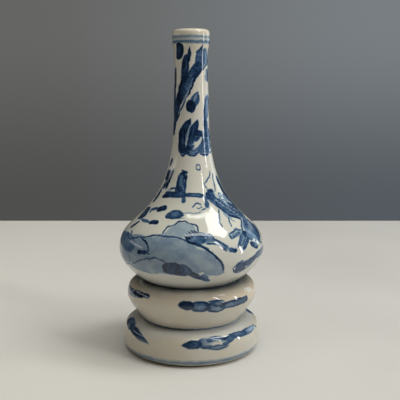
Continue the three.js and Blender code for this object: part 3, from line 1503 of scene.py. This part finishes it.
class StrokeMaths:
    """Works out strokes of the brush with vector nodes, three strokes at a time."""

    lanes: int = 3

    def __init__(self, graph: Graph, shape: VaseShape, place: Wire) -> None:
        """Spreads the place's two coordinates over the lanes.

        Args:
            graph: The tree that gets the nodes.
            shape: The wall that the strokes lie on.
            place: Angle and latitude on the painting's flat sheet.
        """
        self.graph = graph
        self.shape = shape
        angle, latitude, _ = graph.split(place)
        self.angle = graph.joined(*[angle] * self.lanes)
        self.latitude = graph.joined(*[latitude] * self.lanes)

    def _terms(self, stroke: Stroke) -> dict[str, float]:
        """Works out the numbers that a stroke's nodes need.

        Args:
            stroke: The stroke.

        Returns:
            The numbers by name.
        """
        ends = [(math.radians(angle), self.shape.latitude(run)) for angle, run in (stroke.start, stroke.end)]
        middle = [(a + b) / 2 for a, b in zip(*ends)]
        half = [(b - a) / 2 for a, b in zip(*ends)]
        length = math.hypot(*half)
        way = [part / length for part in half]
        radius = self.shape.radius((stroke.start[1] + stroke.end[1]) / 2)
        half_width = stroke.width / 2
        pointed = stroke.tip is Tip.POINTED
        unit = 1.0 if pointed else half_width
        slope = stroke.load / stroke.soft
        if pointed:
            top = slope * half_width + stroke.load / 2
        else:
            slope *= half_width / 2
            top = slope + stroke.load / 2
        return {
            "along_x": way[0] / length,
            "along_y": way[1] / length,
            "along_0": -(middle[0] * way[0] + middle[1] * way[1]) / length,
            "across_x": -way[1] * radius / unit,
            "across_y": way[0] * radius / unit,
            "across_0": ((middle[0] * way[1] - middle[1] * way[0]) * radius - stroke.bow) / unit,
            "bow": stroke.bow / unit,
            "half_width": half_width,
            "slope": -slope,
            "top": top,
            "middle": stroke.load * (1 - stroke.thin),
            "rim": stroke.load * stroke.thin / (half_width if pointed else 1.0),
        }

    def _batch(self, strokes: Sequence[Stroke]) -> Wire:
        """Lays up to three strokes of one kind.

        Args:
            strokes: The strokes.

        Returns:
            The cobalt that each leaves, in the lanes of a vector.
        """
        rows = [self._terms(stroke) for stroke in strokes]

        def lanes(name: str) -> tuple[float, ...]:
            """Takes one number of every stroke, and noughts for empty lanes."""
            return tuple([row[name] for row in rows] + [0.0] * (self.lanes - len(rows)))

        along = self.latitude.times_plus(lanes("along_y"), lanes("along_0"))
        along = self.angle.times_plus(lanes("along_x"), along)
        across = self.latitude.times_plus(lanes("across_y"), lanes("across_0"))
        across = self.angle.times_plus(lanes("across_x"), across)
        squared = along * along
        across = squared.times_plus(lanes("bow"), across)
        if strokes[0].tip is Tip.BLUNT:
            reach = across.times_plus(across, squared * squared)
        elif strokes[0].tip is Tip.ROUND:
            reach = across.times_plus(across, squared)
        else:
            reach = squared.times_plus(lanes("half_width"), abs(across))
        inside = reach.times_plus(lanes("rim"), lanes("middle"))
        return reach.times_plus(lanes("slope"), lanes("top")).least(inside)

    def laid(self, strokes: Sequence[Stroke]) -> Wire:
        """Lays strokes over each other.

        Args:
            strokes: The strokes.

        Returns:
            The darkest cobalt of every third stroke, in the lanes of a vector.
        """
        total: Feed = (0.0, 0.0, 0.0)
        for tip in Tip:
            alike = [stroke for stroke in strokes if stroke.tip is tip]
            for first in range(0, len(alike), self.lanes):
                total = self._batch(alike[first : first + self.lanes]).most(total)
        return total

    def darkest(self, laid: Wire) -> Wire:
        """Takes the most of a vector's lanes.

        Args:
            laid: The lanes.

        Returns:
            Their largest value.
        """
        first, second, third = self.graph.split(laid)
        return first.most(second).most(third)


class Painting:
    """The whole painting, as a group of nodes for each motif.

    What is on both sides fades out towards the quarter turns, where the two halves meet.
    """

    fade_from: float = math.radians(84.0)

    def __init__(self, shape: VaseShape) -> None:
        """Gathers the motifs.

        Args:
            shape: The wall that is painted.
        """
        self.shape = shape
        parts = (NeckPainting(), ShoulderPainting(), BellyPainting(), LowerPainting())
        self.placed = [placed for part in parts for placed in part.placed()]
        self.groups: dict[str, bpy.types.NodeTree] = {}

    def _group(self, motif: Motif) -> bpy.types.NodeTree:
        """Makes the group of a motif, once.

        Args:
            motif: The motif.

        Returns:
            A group that turns a place on the flat sheet into cobalt, in the lanes of a vector.
        """
        if motif.name in self.groups:
            return self.groups[motif.name]
        tree = bpy.data.node_groups.new(motif.name, "ShaderNodeTree")
        tree.interface.new_socket("Place", in_out="INPUT", socket_type="NodeSocketVector")
        tree.interface.new_socket("Cobalt", in_out="OUTPUT", socket_type="NodeSocketVector")
        graph = Graph(tree)
        maths = StrokeMaths(graph, self.shape, graph.wire("NodeGroupInput"))
        cobalt = maths.laid(motif.inks)
        if motif.bares_and_highlights:
            # Clears the cobalt where the motif is left bare and where it shows a painted highlight
            bare = maths.darkest(maths.laid(motif.bares_and_highlights))
            cobalt = cobalt.scaled(1 - bare)
        graph.node("NodeGroupOutput", {}, {0: cobalt})
        self.groups[motif.name] = tree
        return tree

    def _bands(self, graph: Graph, latitude: Wire) -> Wire:
        """Draws the lines that go right round.

        Args:
            graph: The tree that gets the nodes.
            latitude: Latitude on the flat sheet.

        Returns:
            Their cobalt.
        """
        total: Feed = 0.0
        for band in BANDS:
            offset = abs((latitude - self.shape.latitude(band.run)) * self.shape.radius(band.run))
            slope = band.load / band.soft
            cover = offset.times_plus(-slope, slope * band.width / 2 + band.load / 2)
            total = cover.least(band.load).most(total)
        return total

    def cobalt(self, graph: Graph, place: Wire) -> Wire:
        """Paints the whole wall.

        Args:
            graph: The material's tree.
            place: Angle and latitude on the flat sheet.

        Returns:
            How much cobalt is at each place, from nought to one.
        """
        angle, latitude, _ = graph.split(place)
        quarter = math.pi / 2
        folded = angle.maths("WRAP", quarter, -quarter)
        turned = (angle + math.pi).maths("WRAP", math.pi, -math.pi)
        places = {
            Side.FRONT: place,
            Side.BOTH: graph.joined(folded, latitude),
            Side.BACK: graph.joined(turned, latitude),
        }
        laid = {side: self._side(graph, side, local) for side, local in places.items()}
        kept = 1 - abs(folded).between(self.fade_from, quarter)
        both = laid[Side.BOTH].scaled(kept)
        total = both.most(laid[Side.FRONT]).most(laid[Side.BACK])
        maths = StrokeMaths(graph, self.shape, place)
        return maths.darkest(total).most(self._bands(graph, latitude))

    def _side(self, graph: Graph, side: Side, local: Wire) -> Wire:
        """Paints the motifs that are on one side.

        Args:
            graph: The material's tree.
            side: The side.
            local: Angle and latitude, as that side's motifs take them.

        Returns:
            Their cobalt, in the lanes of a vector.
        """
        total: Feed = (0.0, 0.0, 0.0)
        for placed in self.placed:
            if placed.side is side:
                group = self._group(placed.motif)
                total = graph.wire("ShaderNodeGroup", {"node_tree": group}, {0: local}).most(total)
        return total


@dataclass(frozen=True)
class Mottle:
    """A soft random pattern on a surface.

    Attributes:
        scale: How many of its features fit in a metre.
        detail: How many finer layers it has.
        roughness: How strong those are.
        low: The noise where the pattern begins.
        high: The noise where it is full.
        amount: How much of it shows where it is full.
    """

    scale: float
    detail: float = 2.0
    roughness: float = 0.5
    low: float = 0.0
    high: float = 1.0
    amount: float = 1.0

    def noise(self, graph: Graph, where: Wire, out: int | str = 0) -> Wire:
        """Takes the noise as it is.

        Args:
            graph: The material's tree.
            where: Object coordinates, in metres.
            out: Its value, or "Color" for three values at once.

        Returns:
            The noise.
        """
        sockets = {"Vector": where, "Scale": self.scale, "Detail": self.detail, "Roughness": self.roughness}
        return graph.wire("ShaderNodeTexNoise", {}, sockets, out)

    def laid(self, graph: Graph, where: Wire) -> Wire:
        """Lays the pattern.

        Args:
            graph: The material's tree.
            where: Object coordinates, in metres.

        Returns:
            How strong it is at each place, from nought to its amount.
        """
        return self.noise(graph, where).between(self.low, self.high) * self.amount


@dataclass(frozen=True)
class PaintedGlaze:
    """Clear glaze over a cobalt painting, on a warm white body.

    Attributes:
        wobble: How far a hand-drawn edge strays, in mm.
        pools: Where the cobalt gathers under the glaze.
        thinnest: How much of the cobalt is left where it gathers least.
        pooling: How much more there is where it gathers most.
        grains: The cobalt's own grain.
        body_and_shade_heights: The body's colour at shares of the vase's height, with painted shade in the
            waists and on the lower bulbs, and painted light low on the foot.
        tones: What the cobalt lets through of the body's colour, by how much of it there is.
    """

    name: str = "painted_glaze"
    roughness: float = 0.08
    coat: float = 0.2
    coat_roughness: float = 0.03
    wobble: float = 1.3
    wobble_noise: Mottle = Mottle(380.0, 3.0, 0.6)
    pools: Mottle = Mottle(210.0)
    thinnest: float = 0.62
    pooling: float = 0.7
    grains: Mottle = Mottle(1500.0, 2.0, 0.6, amount=0.45)
    clouds: Mottle = Mottle(42.0, 3.0, 0.55, 0.35, 0.7, 0.5)
    cloud_colour: Colour = shade(212, 212, 204)
    specks: Mottle = Mottle(900.0, 2.0, 0.5, 0.735, 0.78, 0.5)
    speck_colour: Colour = shade(150, 138, 118)
    swell: Mottle = Mottle(75.0, 2.0, 0.45)
    swell_strength: float = 0.25
    swell_depth: float = 0.4
    # Painted shade and light by height: a dark grey band in the upper waist's crease, a grey band in the
    # lower waist, the lower bulbs darker than the neck (partly the glaze's own warmer tone, partly painted
    # shade), and lighter stops just above the lower waist and at the very foot
    body_and_shade_heights: tuple[tuple[float, Colour], ...] = (
        (0.0, shade(226, 216, 198)),
        (0.03, shade(202, 194, 176)),
        (0.082, shade(206, 196, 176)),
        (0.093, shade(196, 189, 172)),
        (0.0985, shade(196, 200, 200)),
        (0.102, shade(224, 214, 196)),
        (0.17, shade(210, 203, 186)),
        (0.2, shade(222, 207, 184)),
        (0.221, shade(186, 175, 156)),
        (0.2265, shade(104, 107, 106)),
        (0.233, shade(172, 174, 170)),
        (0.262, shade(210, 210, 202)),
        (0.45, shade(226, 224, 206)),
        (0.7, shade(232, 227, 216)),
        (0.93, shade(232, 225, 208)),
        (1.0, shade(234, 224, 200)),
    )
    tones: tuple[tuple[float, Colour], ...] = (
        (0.0, (1.0, 1.0, 1.0, 1.0)),
        (0.12, (0.75, 0.835, 0.935, 1.0)),
        (0.25, (0.51, 0.64, 0.805, 1.0)),
        (0.4, (0.285, 0.405, 0.62, 1.0)),
        (0.55, (0.095, 0.2, 0.425, 1.0)),
        (0.68, (0.028, 0.083, 0.222, 1.0)),
        (0.8, (0.008, 0.03, 0.098, 1.0)),
        (1.0, (0.001, 0.006, 0.027, 1.0)),
    )

    def material(self, painting: Painting) -> bpy.types.Material:
        """Makes the material.

        Args:
            painting: The painting under the glaze.

        Returns:
            The material.
        """
        made, graph = empty_material(self.name)
        where = graph.place()
        sheet = graph.wire("ShaderNodeUVMap", {"uv_map": SHEET_MAP})
        cobalt = painting.cobalt(graph, sheet + self._wobbled(graph, where))
        cobalt = self._pooled(graph, where, cobalt)
        tone = graph.wire("ShaderNodeValToRGB", {"stops": self.tones}, {0: cobalt})
        ground = self._ground(graph, where, painting.shape.overall_height)
        swell = self.swell.noise(graph, where)
        sockets = {
            "Base Color": graph.mix(1.0, ground, tone, "MULTIPLY"),
            "Roughness": self.roughness,
            "Coat Weight": self.coat,
            "Coat Roughness": self.coat_roughness,
            "Normal": graph.bump(swell, self.swell_strength, self.swell_depth),
        }
        graph.surface(sockets)
        return made

    def _wobbled(self, graph: Graph, where: Wire) -> Wire:
        """Makes the small offset that a hand-drawn edge has.

        Args:
            graph: The material's tree.
            where: Object coordinates, in metres.

        Returns:
            An offset on the flat sheet.
        """
        flat = where * (1.0, 1.0, 0.0)
        radius = graph.wire("ShaderNodeVectorMath", {"operation": "LENGTH"}, {0: flat}, "Value")
        reach = radius.maths("DIVIDE", self.wobble * MM, swap=True)
        centred = self.wobble_noise.noise(graph, where, "Color") - (0.5, 0.5, 0.5)
        return centred.scaled(reach)

    def _pooled(self, graph: Graph, where: Wire, cobalt: Wire) -> Wire:
        """Makes the cobalt uneven, as it pools and thins under the glaze.

        Args:
            graph: The material's tree.
            where: Object coordinates, in metres.
            cobalt: The cobalt as the brush left it.

        Returns:
            The cobalt after firing.
        """
        pooled = self.pools.noise(graph, where).times_plus(self.pooling, self.thinnest)
        grain = (self.grains.noise(graph, where) - 0.5) * self.grains.amount
        return (cobalt * (pooled + grain)).least(1.0)

    def _ground(self, graph: Graph, where: Wire, overall_height: float) -> Wire:
        """Makes the warm white body under the glaze, with faint clouds and specks, and with painted shade and
        light by height.

        Args:
            graph: The material's tree.
            where: Object coordinates, in metres.
            overall_height: The vase's height, in mm.

        Returns:
            The body's colour.
        """
        *_, rise = graph.split(where)
        height = rise / (overall_height * MM)
        body = graph.wire("ShaderNodeValToRGB", {"stops": self.body_and_shade_heights}, {0: height})
        body = graph.mix(self.clouds.laid(graph, where), body, self.cloud_colour)
        return graph.mix(self.specks.laid(graph, where), body, self.speck_colour)


@dataclass(frozen=True)
class PlainGlaze:
    """The same glaze with no painting, for the inside and the underside."""

    name: str = "plain_glaze"
    roughness: float = 0.16
    coat: float = 0.3
    clouds: Mottle = Mottle(60.0, 3.0, 0.55, 0.3, 0.7)
    cloud_colours: tuple[Colour, Colour] = (shade(212, 204, 188), shade(204, 203, 194))
    pits: Mottle = Mottle(800.0, 2.0, 0.5, 0.72, 0.78, 0.5)
    pit_colour: Colour = shade(140, 128, 108)
    swell_strength: float = 0.3
    swell_depth: float = 0.4

    def material(self) -> bpy.types.Material:
        """Makes the material.

        Returns:
            The material.
        """
        made, graph = empty_material(self.name)
        where = graph.place()
        clouds = self.clouds.laid(graph, where)
        colour = graph.mix(clouds, *self.cloud_colours)
        sockets = {
            "Base Color": graph.mix(self.pits.laid(graph, where), colour, self.pit_colour),
            "Roughness": self.roughness,
            "Coat Weight": self.coat,
            "Normal": graph.bump(clouds, self.swell_strength, self.swell_depth),
        }
        graph.surface(sockets)
        return made


@dataclass(frozen=True)
class BareClay:
    """The foot ring, which is wiped free of glaze and fired to a pale biscuit."""

    name: str = "bare_clay"
    roughness: float = 0.8
    grain: Mottle = Mottle(2200.0, 3.0, 0.6, 0.55, 0.75, 0.4)
    grain_colour: Colour = shade(120, 104, 84)
    grain_strength: float = 0.5
    grain_depth: float = 0.15
    stain: Mottle = Mottle(160.0, 3.0, 0.6, 0.45, 0.75)
    stain_colours: tuple[Colour, Colour] = (shade(205, 192, 168), shade(160, 128, 92))

    def material(self) -> bpy.types.Material:
        """Makes the material.

        Returns:
            The material.
        """
        made, graph = empty_material(self.name)
        where = graph.place()
        grain = self.grain.noise(graph, where)
        colour = graph.mix(self.stain.laid(graph, where), *self.stain_colours)
        sockets = {
            "Base Color": graph.mix(self.grain.laid(graph, where), colour, self.grain_colour),
            "Roughness": self.roughness,
            "Normal": graph.bump(grain, self.grain_strength, self.grain_depth),
        }
        graph.surface(sockets)
        return made


class Skin(Enum):
    """The vase's finishes, by the place of their material."""

    PAINTED = 0
    PLAIN = 1
    BARE = 2


@dataclass
class VaseMesh:
    """The vase's mesh: its section spun round the axis.

    Attributes:
        shape: The section that is spun.
        name: The piece's name.
        steps: How many steps go round the axis.
        merged: How close two vertices are that become one, in metres.
        on_axis: How close to the axis a vertex has no angle of its own, in metres.
        off_sheet: The latitude on the painting's flat sheet of what isn't painted.
        bake_map: The UV map that finishes can be baked on.
        bake_outside: How far up that map the outside reaches.
        bake_inside: How far up it the inside reaches. The underside is above.
        bake_gap: What is left free between them.
    """

    shape: VaseShape
    name: str = "porcelain_vase"
    steps: int = 180
    merged: float = 1e-6
    on_axis: float = 1e-7
    off_sheet: float = -9.0
    bake_map: str = "OFBake"
    bake_outside: float = 0.84
    bake_inside: float = 0.93
    bake_gap: float = 0.008

    def __post_init__(self) -> None:
        """Draws the section."""
        self.section = self.shape.section()

    def build(self) -> bpy.types.Object:
        """Builds the mesh and its object.

        Returns:
            The object, at the origin and without materials.
        """
        form = bmesh.new()
        run_layer = form.verts.layers.float.new("run")
        verts = []
        for point in self.section:
            vert = form.verts.new((0.0, point.radius * MM, point.height * MM))
            vert[run_layer] = point.run
            verts.append(vert)
        edges = [form.edges.new(pair) for pair in zip(verts, verts[1:])]
        bmesh.ops.spin(
            form,
            geom=verts + edges,
            cent=(0.0, 0.0, 0.0),
            axis=(0.0, 0.0, 1.0),
            dvec=(0.0, 0.0, 0.0),
            angle=math.tau,
            steps=self.steps,
            use_merge=True,
            use_duplicate=False,
        )
        bmesh.ops.remove_doubles(form, verts=form.verts, dist=self.merged)
        bmesh.ops.recalc_face_normals(form, faces=form.faces)
        self._map(form, run_layer)
        form.verts.layers.float.remove(form.verts.layers.float["run"])
        mesh = bpy.data.meshes.new(self.name)
        form.to_mesh(mesh)
        form.free()
        return in_scene(self.name, mesh)

    def _map(self, form: bmesh.types.BMesh, run_layer: bmesh.types.BMLayerItem) -> None:
        """Lays both UV maps on the mesh, and sorts the faces by finish.

        Args:
            form: The spun mesh.
            run_layer: The layer that holds each vertex's run.
        """
        sheet = form.loops.layers.uv.new(SHEET_MAP)
        bake = form.loops.layers.uv.new(self.bake_map)
        for face in form.faces:
            face.smooth = True
            mean = sum(vert[run_layer] for vert in face.verts) / len(face.verts)
            skin = self._skin(mean)
            face.material_index = skin.value
            centre = face.calc_center_median()
            middle = math.atan2(centre.x, -centre.y)
            for loop in face.loops:
                run = loop.vert[run_layer]
                angle = self._angle(loop.vert.co, middle)
                painted = skin is Skin.PAINTED
                loop[sheet].uv = (angle, self.shape.latitude(run) if painted else self.off_sheet)
                loop[bake].uv = (angle / math.tau + 0.5, self._bake_height(run, mean))

    def _skin(self, mean: float) -> Skin:
        """Says which finish a face has.

        Args:
            mean: The mean run of its corners.

        Returns:
            The finish.
        """
        if 0.0 <= mean <= self.shape.top_run:
            return Skin.PAINTED
        return Skin.BARE if -self.shape.foot_ring_width < mean < 0.0 else Skin.PLAIN

    def _angle(self, place: Vector, middle: float) -> float:
        """Says how far round from the front a corner is.

        Args:
            place: The corner.
            middle: The angle of its face's middle, which it stays within half a turn of.

        Returns:
            The angle.
        """
        if place.xy.length <= self.on_axis:
            return middle
        return middle + math.remainder(math.atan2(place.x, -place.y) - middle, math.tau)

    def _bake_height(self, run: float, mean: float) -> float:
        """Says how far up the bake's map a corner lies.

        Args:
            run: The corner's run.
            mean: The mean run of its face's corners.

        Returns:
            The height on the map.
        """
        top = self.shape.top_run
        if 0.0 <= mean <= top:
            return self.bake_outside * run / top
        if mean > top:
            low, high = self.bake_outside + self.bake_gap, self.bake_inside
            share = (run - top) / (self.section[-1].run - top)
        else:
            low, high = self.bake_inside + self.bake_gap, 1.0
            share = 1 - run / self.section[0].run
        return low + (high - low) * share


@dataclass
class Vase:
    """The vase, with its mesh and its three finishes."""

    shape: VaseShape

    def build(self) -> bpy.types.Object:
        """Builds the vase, attaches it to its body and hides the frame's part.

        Returns:
            The finished piece.
        """
        piece = VaseMesh(self.shape).build()
        finishes = {
            Skin.PAINTED: PaintedGlaze().material(Painting(self.shape)),
            Skin.PLAIN: PlainGlaze().material(),
            Skin.BARE: BareClay().material(),
        }
        for skin in Skin:
            piece.data.materials.append(finishes[skin])
        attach(piece, BODY)
        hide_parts("vase")
        return piece


@dataclass(frozen=True)
class Lamp:
    """A rectangle of soft light.

    Attributes:
        name: What it stands for.
        azimuth: Degrees round from the front, towards the right.
        elevation: Degrees above the level.
        distance: How far off it is, in metres.
        width: Its width, in metres.
        height: Its height, in metres.
        power: Its power, in watts.
        colour: Its colour.
        roll: Degrees that it is turned round its own axis.
        mirrored: Whether the glaze shows its reflection.
    """

    name: str
    azimuth: float
    elevation: float
    distance: float
    width: float
    height: float
    power: float
    colour: tuple[float, float, float] = (1.0, 1.0, 1.0)
    roll: float = 0.0
    mirrored: bool = True

    def build(self, target: Vector) -> bpy.types.Object:
        """Hangs the lamp and turns it to the vase.

        Args:
            target: What it shines on.

        Returns:
            The lamp.
        """
        data = bpy.data.lights.new(self.name, "AREA")
        data.shape = "RECTANGLE"
        data.size = self.width
        data.size_y = self.height
        data.energy = self.power
        data.color = self.colour
        lamp = in_scene(self.name, data)
        turn, lift = math.radians(self.azimuth), math.radians(self.elevation)
        way = Vector((math.sin(turn) * math.cos(lift), -math.cos(turn) * math.cos(lift), math.sin(lift)))
        lamp.location = target + way * self.distance
        facing = (-way).to_track_quat("-Z", "Y").to_matrix()
        lamp.rotation_euler = (facing @ Matrix.Rotation(math.radians(self.roll), 3, "Z")).to_euler()
        lamp.visible_camera = False
        lamp.visible_glossy = self.mirrored
        return lamp


@dataclass
class Studio:
    """The pale floor, the light and the grey room round them. Its lengths are in metres.

    Attributes:
        floor_half: Half of the floor's side.
        floor_depth: The floor's thickness.
        floor_round: How far the floor's edges are rounded.
        floor_bevels: The steps of that rounding.
        floor_roughness: How matt the floor is.
        floor_lit_left: The floor's colour at the left, painted lighter there as painted light.
        floor_right: The two colours that it drifts between at the right.
        floor_drift: Where it has the second of them.
        floor_light_fade: From where to where across the floor that painted light fades.
        room_left: The wall's colours at the left, low and high.
        room_right: The wall's colours at the right, low and high.
        room_rise: How steep the view is, as a direction's height, where the low and the high colour are.
        room_across: How far to the side it is where the left and the right colours are.
        room_glow: The colour of the light that the room throws back.
        glow_strength: How strong that light is.
        target: What the lamps point at.
        lamps: The lamps.
    """

    floor_half: float = 0.368
    floor_depth: float = 0.012
    floor_round: float = 0.004
    floor_bevels: int = 3
    floor_roughness: float = 0.85
    floor_lit_left: Colour = shade(236, 233, 224)
    floor_right: tuple[Colour, Colour] = (shade(212, 209, 203), shade(218, 215, 209))
    floor_drift: Mottle = Mottle(9.0, 2.0, 0.5, 0.3, 0.7)
    floor_light_fade: tuple[float, float] = (-0.2, 0.15)
    room_left: tuple[Colour, Colour] = (shade(79, 79, 77), shade(101, 101, 99))
    room_right: tuple[Colour, Colour] = (shade(85, 90, 96), shade(121, 126, 130))
    room_rise: tuple[float, float] = (-0.17, 0.09)
    room_across: tuple[float, float] = (-0.26, 0.27)
    room_glow: Colour = shade(255, 252, 246)
    glow_strength: float = 0.05
    target: tuple[float, float, float] = (0.0, 0.0, 0.08)
    lamps: tuple[Lamp, ...] = (
        Lamp("skylight", 91.0, 61.6, 1.15, 0.32, 0.42, 3.5, (1.0, 1.0, 0.98)),
        Lamp("skylight_edge", 38.0, 74.4, 1.02, 0.62, 0.066, 0.95, (0.94, 1.0, 0.98), -28.5),
        Lamp("skylight_spread", 76.0, 58.0, 1.1, 0.5, 0.5, 0.8, (1.0, 1.0, 0.98), 0.0, False),
        Lamp("overhead", 185.0, 66.0, 1.3, 0.9, 0.9, 2.1, (1.0, 0.98, 0.94), 0.0, False),
        Lamp("curtain_gap", 52.0, 37.0, 1.0, 0.05, 0.5, 1.1, (1.0, 0.98, 0.95)),
        Lamp("curtain_spread", 62.0, 36.0, 1.0, 0.4, 0.4, 1.9, (1.0, 0.98, 0.95), 0.0, False),
        Lamp("window", 84.0, 6.0, 1.0, 0.06, 0.36, 0.9, (0.96, 0.98, 1.0)),
        Lamp("ceiling", -34.0, 73.0, 1.2, 1.1, 0.9, 3.3, (1.0, 0.97, 0.92), 0.0, False),
        Lamp("sky_behind", 126.0, 12.0, 1.0, 0.3, 0.54, 0.8, (0.6, 0.82, 1.0)),
        Lamp("left_gap", -100.0, 13.0, 1.0, 0.6, 0.1, 0.25, (1.0, 1.0, 1.0)),
    )

    def build(self) -> None:
        """Builds the floor, the lamps and the room."""
        self._floor()
        for lamp in self.lamps:
            lamp.build(Vector(self.target))
        self._room()

    def _room(self) -> None:
        """Builds the grey room: its wall as the camera sees it, and a faint glow on everything else."""
        world = bpy.data.worlds.new("room")
        world.use_nodes = True
        world.node_tree.nodes.clear()
        graph = Graph(world.node_tree)
        way = graph.wire("ShaderNodeTexCoord", {}, {}, "Generated")
        to_the_right, _, up = graph.split(way)
        rise = up.between(*self.room_rise)
        across = to_the_right.between(*self.room_across)
        left, right = (graph.mix(rise, *pair) for pair in (self.room_left, self.room_right))
        wall = graph.wire("ShaderNodeBackground", {}, {0: graph.mix(across, left, right)})
        glow = graph.wire("ShaderNodeBackground", {}, {0: self.room_glow, 1: self.glow_strength})
        seen = graph.wire("ShaderNodeLightPath", {}, {}, "Is Camera Ray")
        both = graph.wire("ShaderNodeMixShader", {}, {0: seen, 1: glow, 2: wall})
        graph.node("ShaderNodeOutputWorld", {}, {0: both})
        bpy.context.scene.world = world

    def _floor(self) -> None:
        """Builds the floor as a shallow slab, so that its far edge closes the view."""
        side = 2 * self.floor_half
        form = bmesh.new()
        bmesh.ops.create_cube(form, size=1.0)
        bmesh.ops.scale(form, vec=(side, side, self.floor_depth), verts=form.verts)
        bmesh.ops.translate(form, vec=(0.0, 0.0, -self.floor_depth / 2), verts=form.verts)
        bmesh.ops.bevel(
            form,
            geom=list(form.edges),
            offset=self.floor_round,
            affect="EDGES",
            segments=self.floor_bevels,
            profile=0.5,
            material=-1,
        )
        mesh = bpy.data.meshes.new("floor")
        form.to_mesh(mesh)
        form.free()
        mesh.materials.append(self._floor_material())
        in_scene("floor", mesh)

    def _floor_material(self) -> bpy.types.Material:
        """Makes the floor's matt finish, with painted light: lighter towards the left.

        Returns:
            The material.
        """
        made, graph = empty_material("pale_floor")
        where = graph.place()
        to_the_right, *_ = graph.split(where)
        right = graph.mix(self.floor_drift.laid(graph, where), *self.floor_right)
        # Painted light: the floor is lighter towards the left
        colour = graph.mix(to_the_right.between(*self.floor_light_fade), self.floor_lit_left, right)
        graph.surface({"Base Color": colour, "Roughness": self.floor_roughness})
        return made


@dataclass
class PhotoCamera:
    """The camera, where the photograph was taken from.

    Attributes:
        side: How far to the right of the vase's axis it is, in mm.
        distance: How far in front of the axis it is, in mm.
        height: How far above the foot it is, in mm.
        pitch: How far it looks down, in radians.
        focal_pixels: Its focal length, in pixels of the photograph.
        frame_pixels: The photograph's width, in pixels.
        sensor: The sensor's width, in mm.
        nearest: From where on it shows things, in metres.
    """

    side: float = 4.61
    distance: float = 373.56
    height: float = 140.39
    pitch: float = 0.1586
    focal_pixels: float = 704.04
    frame_pixels: float = 400.0
    sensor: float = 36.0
    nearest: float = 0.01

    def build(self) -> bpy.types.Object:
        """Sets the camera up and makes it the scene's.

        Returns:
            The camera.
        """
        data = bpy.data.cameras.new("camera")
        data.sensor_width = self.sensor
        data.lens = self.focal_pixels / self.frame_pixels * self.sensor
        data.clip_start = self.nearest
        camera = in_scene("camera", data)
        camera.location = Vector((self.side, -self.distance, self.height)) * MM
        camera.rotation_euler = (math.pi / 2 - self.pitch, 0.0, 0.0)
        bpy.context.scene.camera = camera
        return camera


def main() -> None:
    """Builds the vase and its studio."""
    logging.basicConfig(level=logging.INFO, format="%(name)s: %(message)s")
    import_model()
    bpy.context.scene.view_settings.view_transform = "Standard"
    PhotoCamera().build()
    Studio().build()
    piece = Vase(VaseShape()).build()
    LOG.info("%s: %d faces", piece.name, len(piece.data.polygons))


if __name__ == "__main__":
    main()
